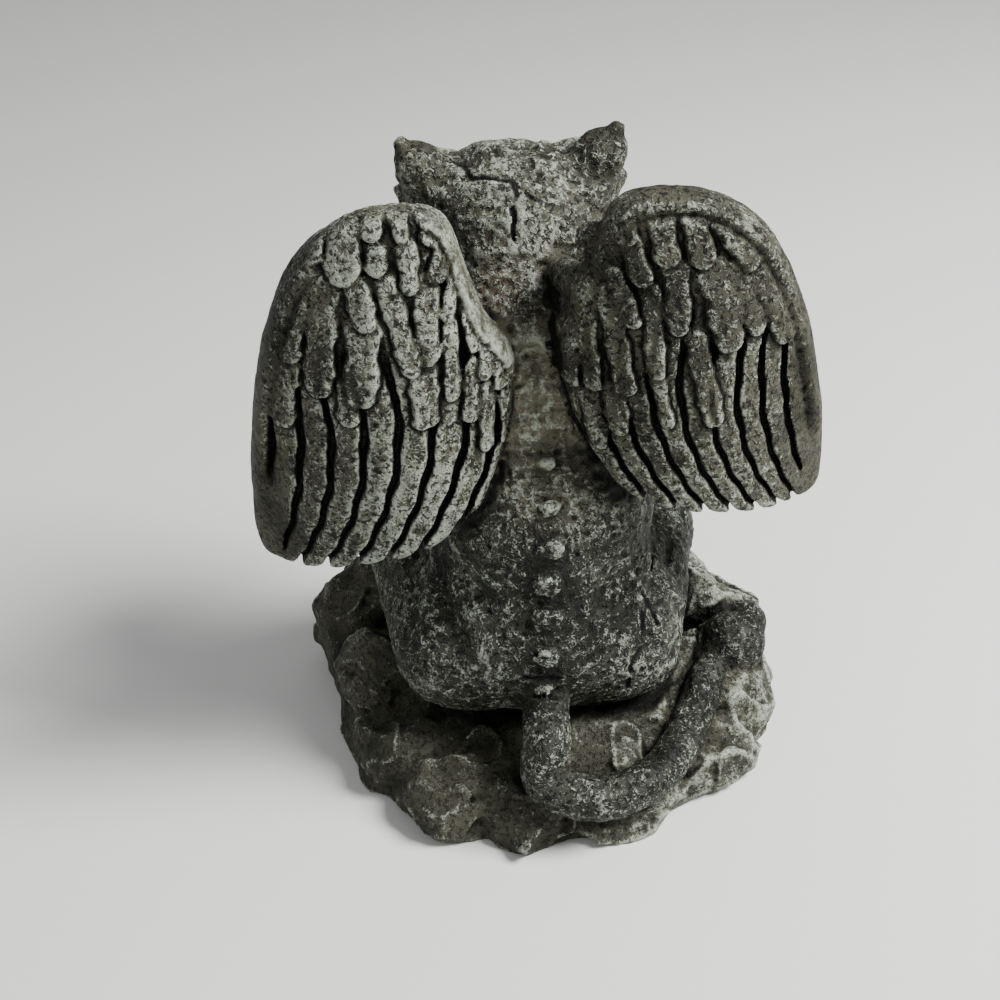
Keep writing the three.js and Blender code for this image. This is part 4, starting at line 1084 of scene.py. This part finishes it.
# %% Levels
# What each reads, the range that counts there, and what the start and the end of that range become
level_table = {
    "rough_cast": (stored["smooth"], 0.1, 0.9, 1.0, 0.3),
    "pit_spots": (pattern["pits"], 0.45, 0.37, 0.0, 1.0),
    "thin_wash": (pattern["clouds"], 0.36, 0.66, 0.0, 1.0),
    "dust_clouds": (pattern["clouds"], 0.3, 0.62, 0.25, 0.8),
    "rust_patches": (pattern["patches"], 0.35, 0.6, 0.1, 0.5),
    "pale_threshold": (stored["brush_and_painted_light"], 0.0, 1.0, 1.35, 0.68),
    "brush_reaches": (stored["open_air"], 0.2, 0.65, 0.0, 1.0),
    # From here down the levels place painted shade: in low places, small pits, gaps and cracks, and
    # closed-in places
    "shade_in_low_places": (stored["raised"], 0.38, 0.05, 0.0, 0.5),
    "shade_in_small_pits": (stored["fine"], 0.38, 0.1, 0.0, 0.8),
    "shadow_in_deep_gaps": (stored["gap"], 0.2, 0.7, 0.0, 0.98),
    "shade_where_shut_in": (stored["open_air"], 0.42, 0.08, 0.0, 0.9),
}
level = {}
for name, (value, start, end, low, high) in level_table.items():
    wires = {"Value": value, "From Min": start, "From Max": end, "To Min": low, "To Max": high}
    level[name] = add(tree, "ShaderNodeMapRange", wires, interpolation_type="SMOOTHSTEP")
print(len(level), "levels")

# %% Worm-like ridges and small pits, too fine for the mesh
off_line = add(tree, "ShaderNodeMath", {0: pattern["winding"], 1: 0.5}, operation="SUBTRACT")
off_line = add(tree, "ShaderNodeMath", {0: off_line}, operation="ABSOLUTE")
winding_line = add(tree, "ShaderNodeMapRange", {"Value": off_line, "From Max": 0.06, "To Min": 1.0,
                                                "To Max": 0.0}, interpolation_type="SMOOTHSTEP")
ridge_here = add(tree, "ShaderNodeMath", {0: winding_line, 1: level["rough_cast"]}, operation="MULTIPLY")
# The pits sink the bump and are also painted dark, as painted shade
pit_here = add(tree, "ShaderNodeMath", {0: level["pit_spots"], 1: level["rough_cast"]},
               operation="MULTIPLY")
print("winding ridges every", pattern_table["winding"][0], "mm or so, pits every",
      pattern_table["pits"][0], "mm")

# %% Where the dry brush left paint, and where light and shade are painted on
# A place takes paint when its height and the patterns together pass the level it needs there, which holds
# painted light and shade too.
touched = -1.2  # takes away what the last three patterns come to on average
for part, weight in (
        (stored["raised"], 0.9), (stored["fine"], 0.4), (ridge_here, 0.4),
        (pattern["speckle"], 0.9), (pattern["patches"], 0.8), (pattern["clouds"], 0.7)):
    touched = add(tree, "ShaderNodeMath", {0: part, 1: weight, 2: touched}, operation="MULTIPLY_ADD")
touched = add(tree, "ShaderNodeMath", {0: touched, 1: level["pale_threshold"]}, operation="SUBTRACT")
brushed_with_painted_light = add(tree, "ShaderNodeMapRange", {"Value": touched, "From Min": -0.08, "From Max": 0.42},
              interpolation_type="SMOOTHSTEP")
brushed_with_painted_light = add(tree, "ShaderNodeMath", {0: brushed_with_painted_light, 1: level["brush_reaches"]}, operation="MULTIPLY")
print("the brush leaves paint where the sum passes its level")

# %% Coats of paint, and painted shade over them
# The two numbers whose product says how much of a coat there is, and its colour, first coat first
coats = [
    (level["thin_wash"], 1.0, "#34352d"),
    (stored["dust"], level["dust_clouds"], "#6e6a56"),
    (stored["rust"], level["rust_patches"], "#62503f"),
    # The pale dry brushing, with the painted light and shade that its level carries
    (brushed_with_painted_light, 0.95, "#959a8d"),
    # The coats from here on are painted shade: in low places, small pits, the pit spots, the gaps between
    # feathers and cracks, and closed-in places
    (level["shade_in_low_places"], 1.0, "#161711"),
    (level["shade_in_small_pits"], 1.0, "#0c0d0b"),
    (pit_here, 0.85, "#0d0e0b"),
    (level["shadow_in_deep_gaps"], 1.0, "#060605"),
    (level["shade_where_shut_in"], 1.0, "#0a0a09"),
]
painted = linear("#1a1b16")
for amount, strength, colour in coats:
    amount = add(tree, "ShaderNodeMath", {0: amount, 1: strength}, operation="MULTIPLY")
    painted = add(tree, "ShaderNodeMix", {0: amount, 6: painted, 7: linear(colour)}, 2, data_type="RGBA")
print(len(coats), "coats: wash, dust, rust, dry brushing, then the dark of hollows, pits and gaps")

# %% Surface: chalky where brushed, a little gloss left in the wash
height = 0.0
for part, weight in ((ridge_here, 0.6), (pattern["speckle"], 0.4), (pit_here, -1.1)):
    height = add(tree, "ShaderNodeMath", {0: part, 1: weight, 2: height}, operation="MULTIPLY_ADD")
bump = add(tree, "ShaderNodeBump", {"Height": height, "Strength": 1.0, "Distance": 0.3 * MM})
chalky = add(tree, "ShaderNodeMapRange", {"Value": brushed_with_painted_light, "To Min": 0.58, "To Max": 0.9},
             interpolation_type="SMOOTHSTEP")
shader = add(tree, "ShaderNodeBsdfPrincipled", {
    "Base Color": painted, "Roughness": chalky, "Normal": bump, "Specular IOR Level": 0.15})
add(tree, "ShaderNodeOutputMaterial", {"Surface": shader})
for piece in gargoyle_pieces:
    piece.data.materials.append(cast_stone)
    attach(piece, "root")
    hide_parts("gargoyle_statue")
print(len(tree.nodes), "nodes in the material")

# %% [markdown]
# ## Floor, light and camera
# A pale floor that curves up into a backdrop, one big soft light high on the picture's right, a weak one
# on the left, and an even pale sky. The camera stands where the photo was taken from: about 0.3 m away,
# behind the statue, looking down 31 degrees.

# %% Floor and backdrop
paper = bpy.data.materials.new("studio_paper")
paper.use_nodes = True
paper_shader = paper.node_tree.nodes["Principled BSDF"]
paper_shader.inputs["Base Color"].default_value = linear("#dcdcd8")
paper_shader.inputs["Roughness"].default_value = 0.9
sweep_line = [(1.2, 0.0)] + [
    (-0.9 - 0.35 * math.sin(t), 0.35 - 0.35 * math.cos(t)) for t in np.linspace(0, math.pi / 2, 13)
] + [(-1.25, 1.6)]
backdrop_places = np.array([(x, y, z) for y, z in sweep_line for x in (-1.8, 1.8)]) / MM
backdrop_faces = np.array([(2 * i, 2 * i + 1, 2 * i + 3, 2 * i + 2) for i in range(len(sweep_line) - 1)])
backdrop = bpy.data.objects.new("backdrop", mesh_from("backdrop", backdrop_places, backdrop_faces))
backdrop.data.materials.append(paper)
bpy.context.scene.collection.objects.link(backdrop)
print("backdrop of", len(backdrop_faces), "faces")


# %% Lights
def soft_light(name, place, size, watts):
    """A round soft light that points at the statue's middle."""
    data = bpy.data.lights.new(name, "AREA")
    data.shape = "DISK"
    data.size = size
    data.energy = watts
    light = bpy.data.objects.new(name, data)
    light.location = place
    light.rotation_euler = (Vector((0, 0, 0.06)) - Vector(place)).to_track_quat("-Z", "Y").to_euler()
    bpy.context.scene.collection.objects.link(light)
    print(name, "at", place, "m,", watts, "W")


soft_light("key_light", (-0.45, 0.15, 0.55), 0.3, 12.5)
soft_light("fill_light", (0.6, 0.5, 0.4), 0.6, 0.8)
world = bpy.data.worlds.new("studio")
world.use_nodes = True
world.node_tree.nodes["Background"].inputs["Color"].default_value = linear("#eef1f4")
world.node_tree.nodes["Background"].inputs["Strength"].default_value = 0.5
bpy.context.scene.world = world

# %% Camera
CAMERA_PLACE = (10.8, 238.0, 192.0)
YAW, PITCH, ROLL = math.radians(1), math.radians(31), math.radians(3.6)
forward = Vector((-math.sin(YAW) * math.cos(PITCH), -math.cos(YAW) * math.cos(PITCH), -math.sin(PITCH)))
level_right = forward.cross(Vector((0, 0, 1))).normalized()
level_up = level_right.cross(forward)
right = math.cos(ROLL) * level_right - math.sin(ROLL) * level_up
up = math.cos(ROLL) * level_up + math.sin(ROLL) * level_right
camera_data = bpy.data.cameras.new("photo_camera")
camera_data.lens = 54
camera_data.sensor_width = 36
camera_data.clip_start = 0.01
camera = bpy.data.objects.new("photo_camera", camera_data)
turned = Matrix((right, up, -forward)).transposed().to_4x4()
spot = (Vector(CAMERA_PLACE) + Vector(moved_by.tolist())) * MM
camera.matrix_world = Matrix.Translation(spot) @ turned
bpy.context.scene.collection.objects.link(camera)
bpy.context.scene.camera = camera
print("camera", round((camera.location - Vector((0, 0, 0.06))).length, 3), "m from the statue")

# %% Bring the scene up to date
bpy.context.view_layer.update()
print("made in", round(time.time() - started), "s")
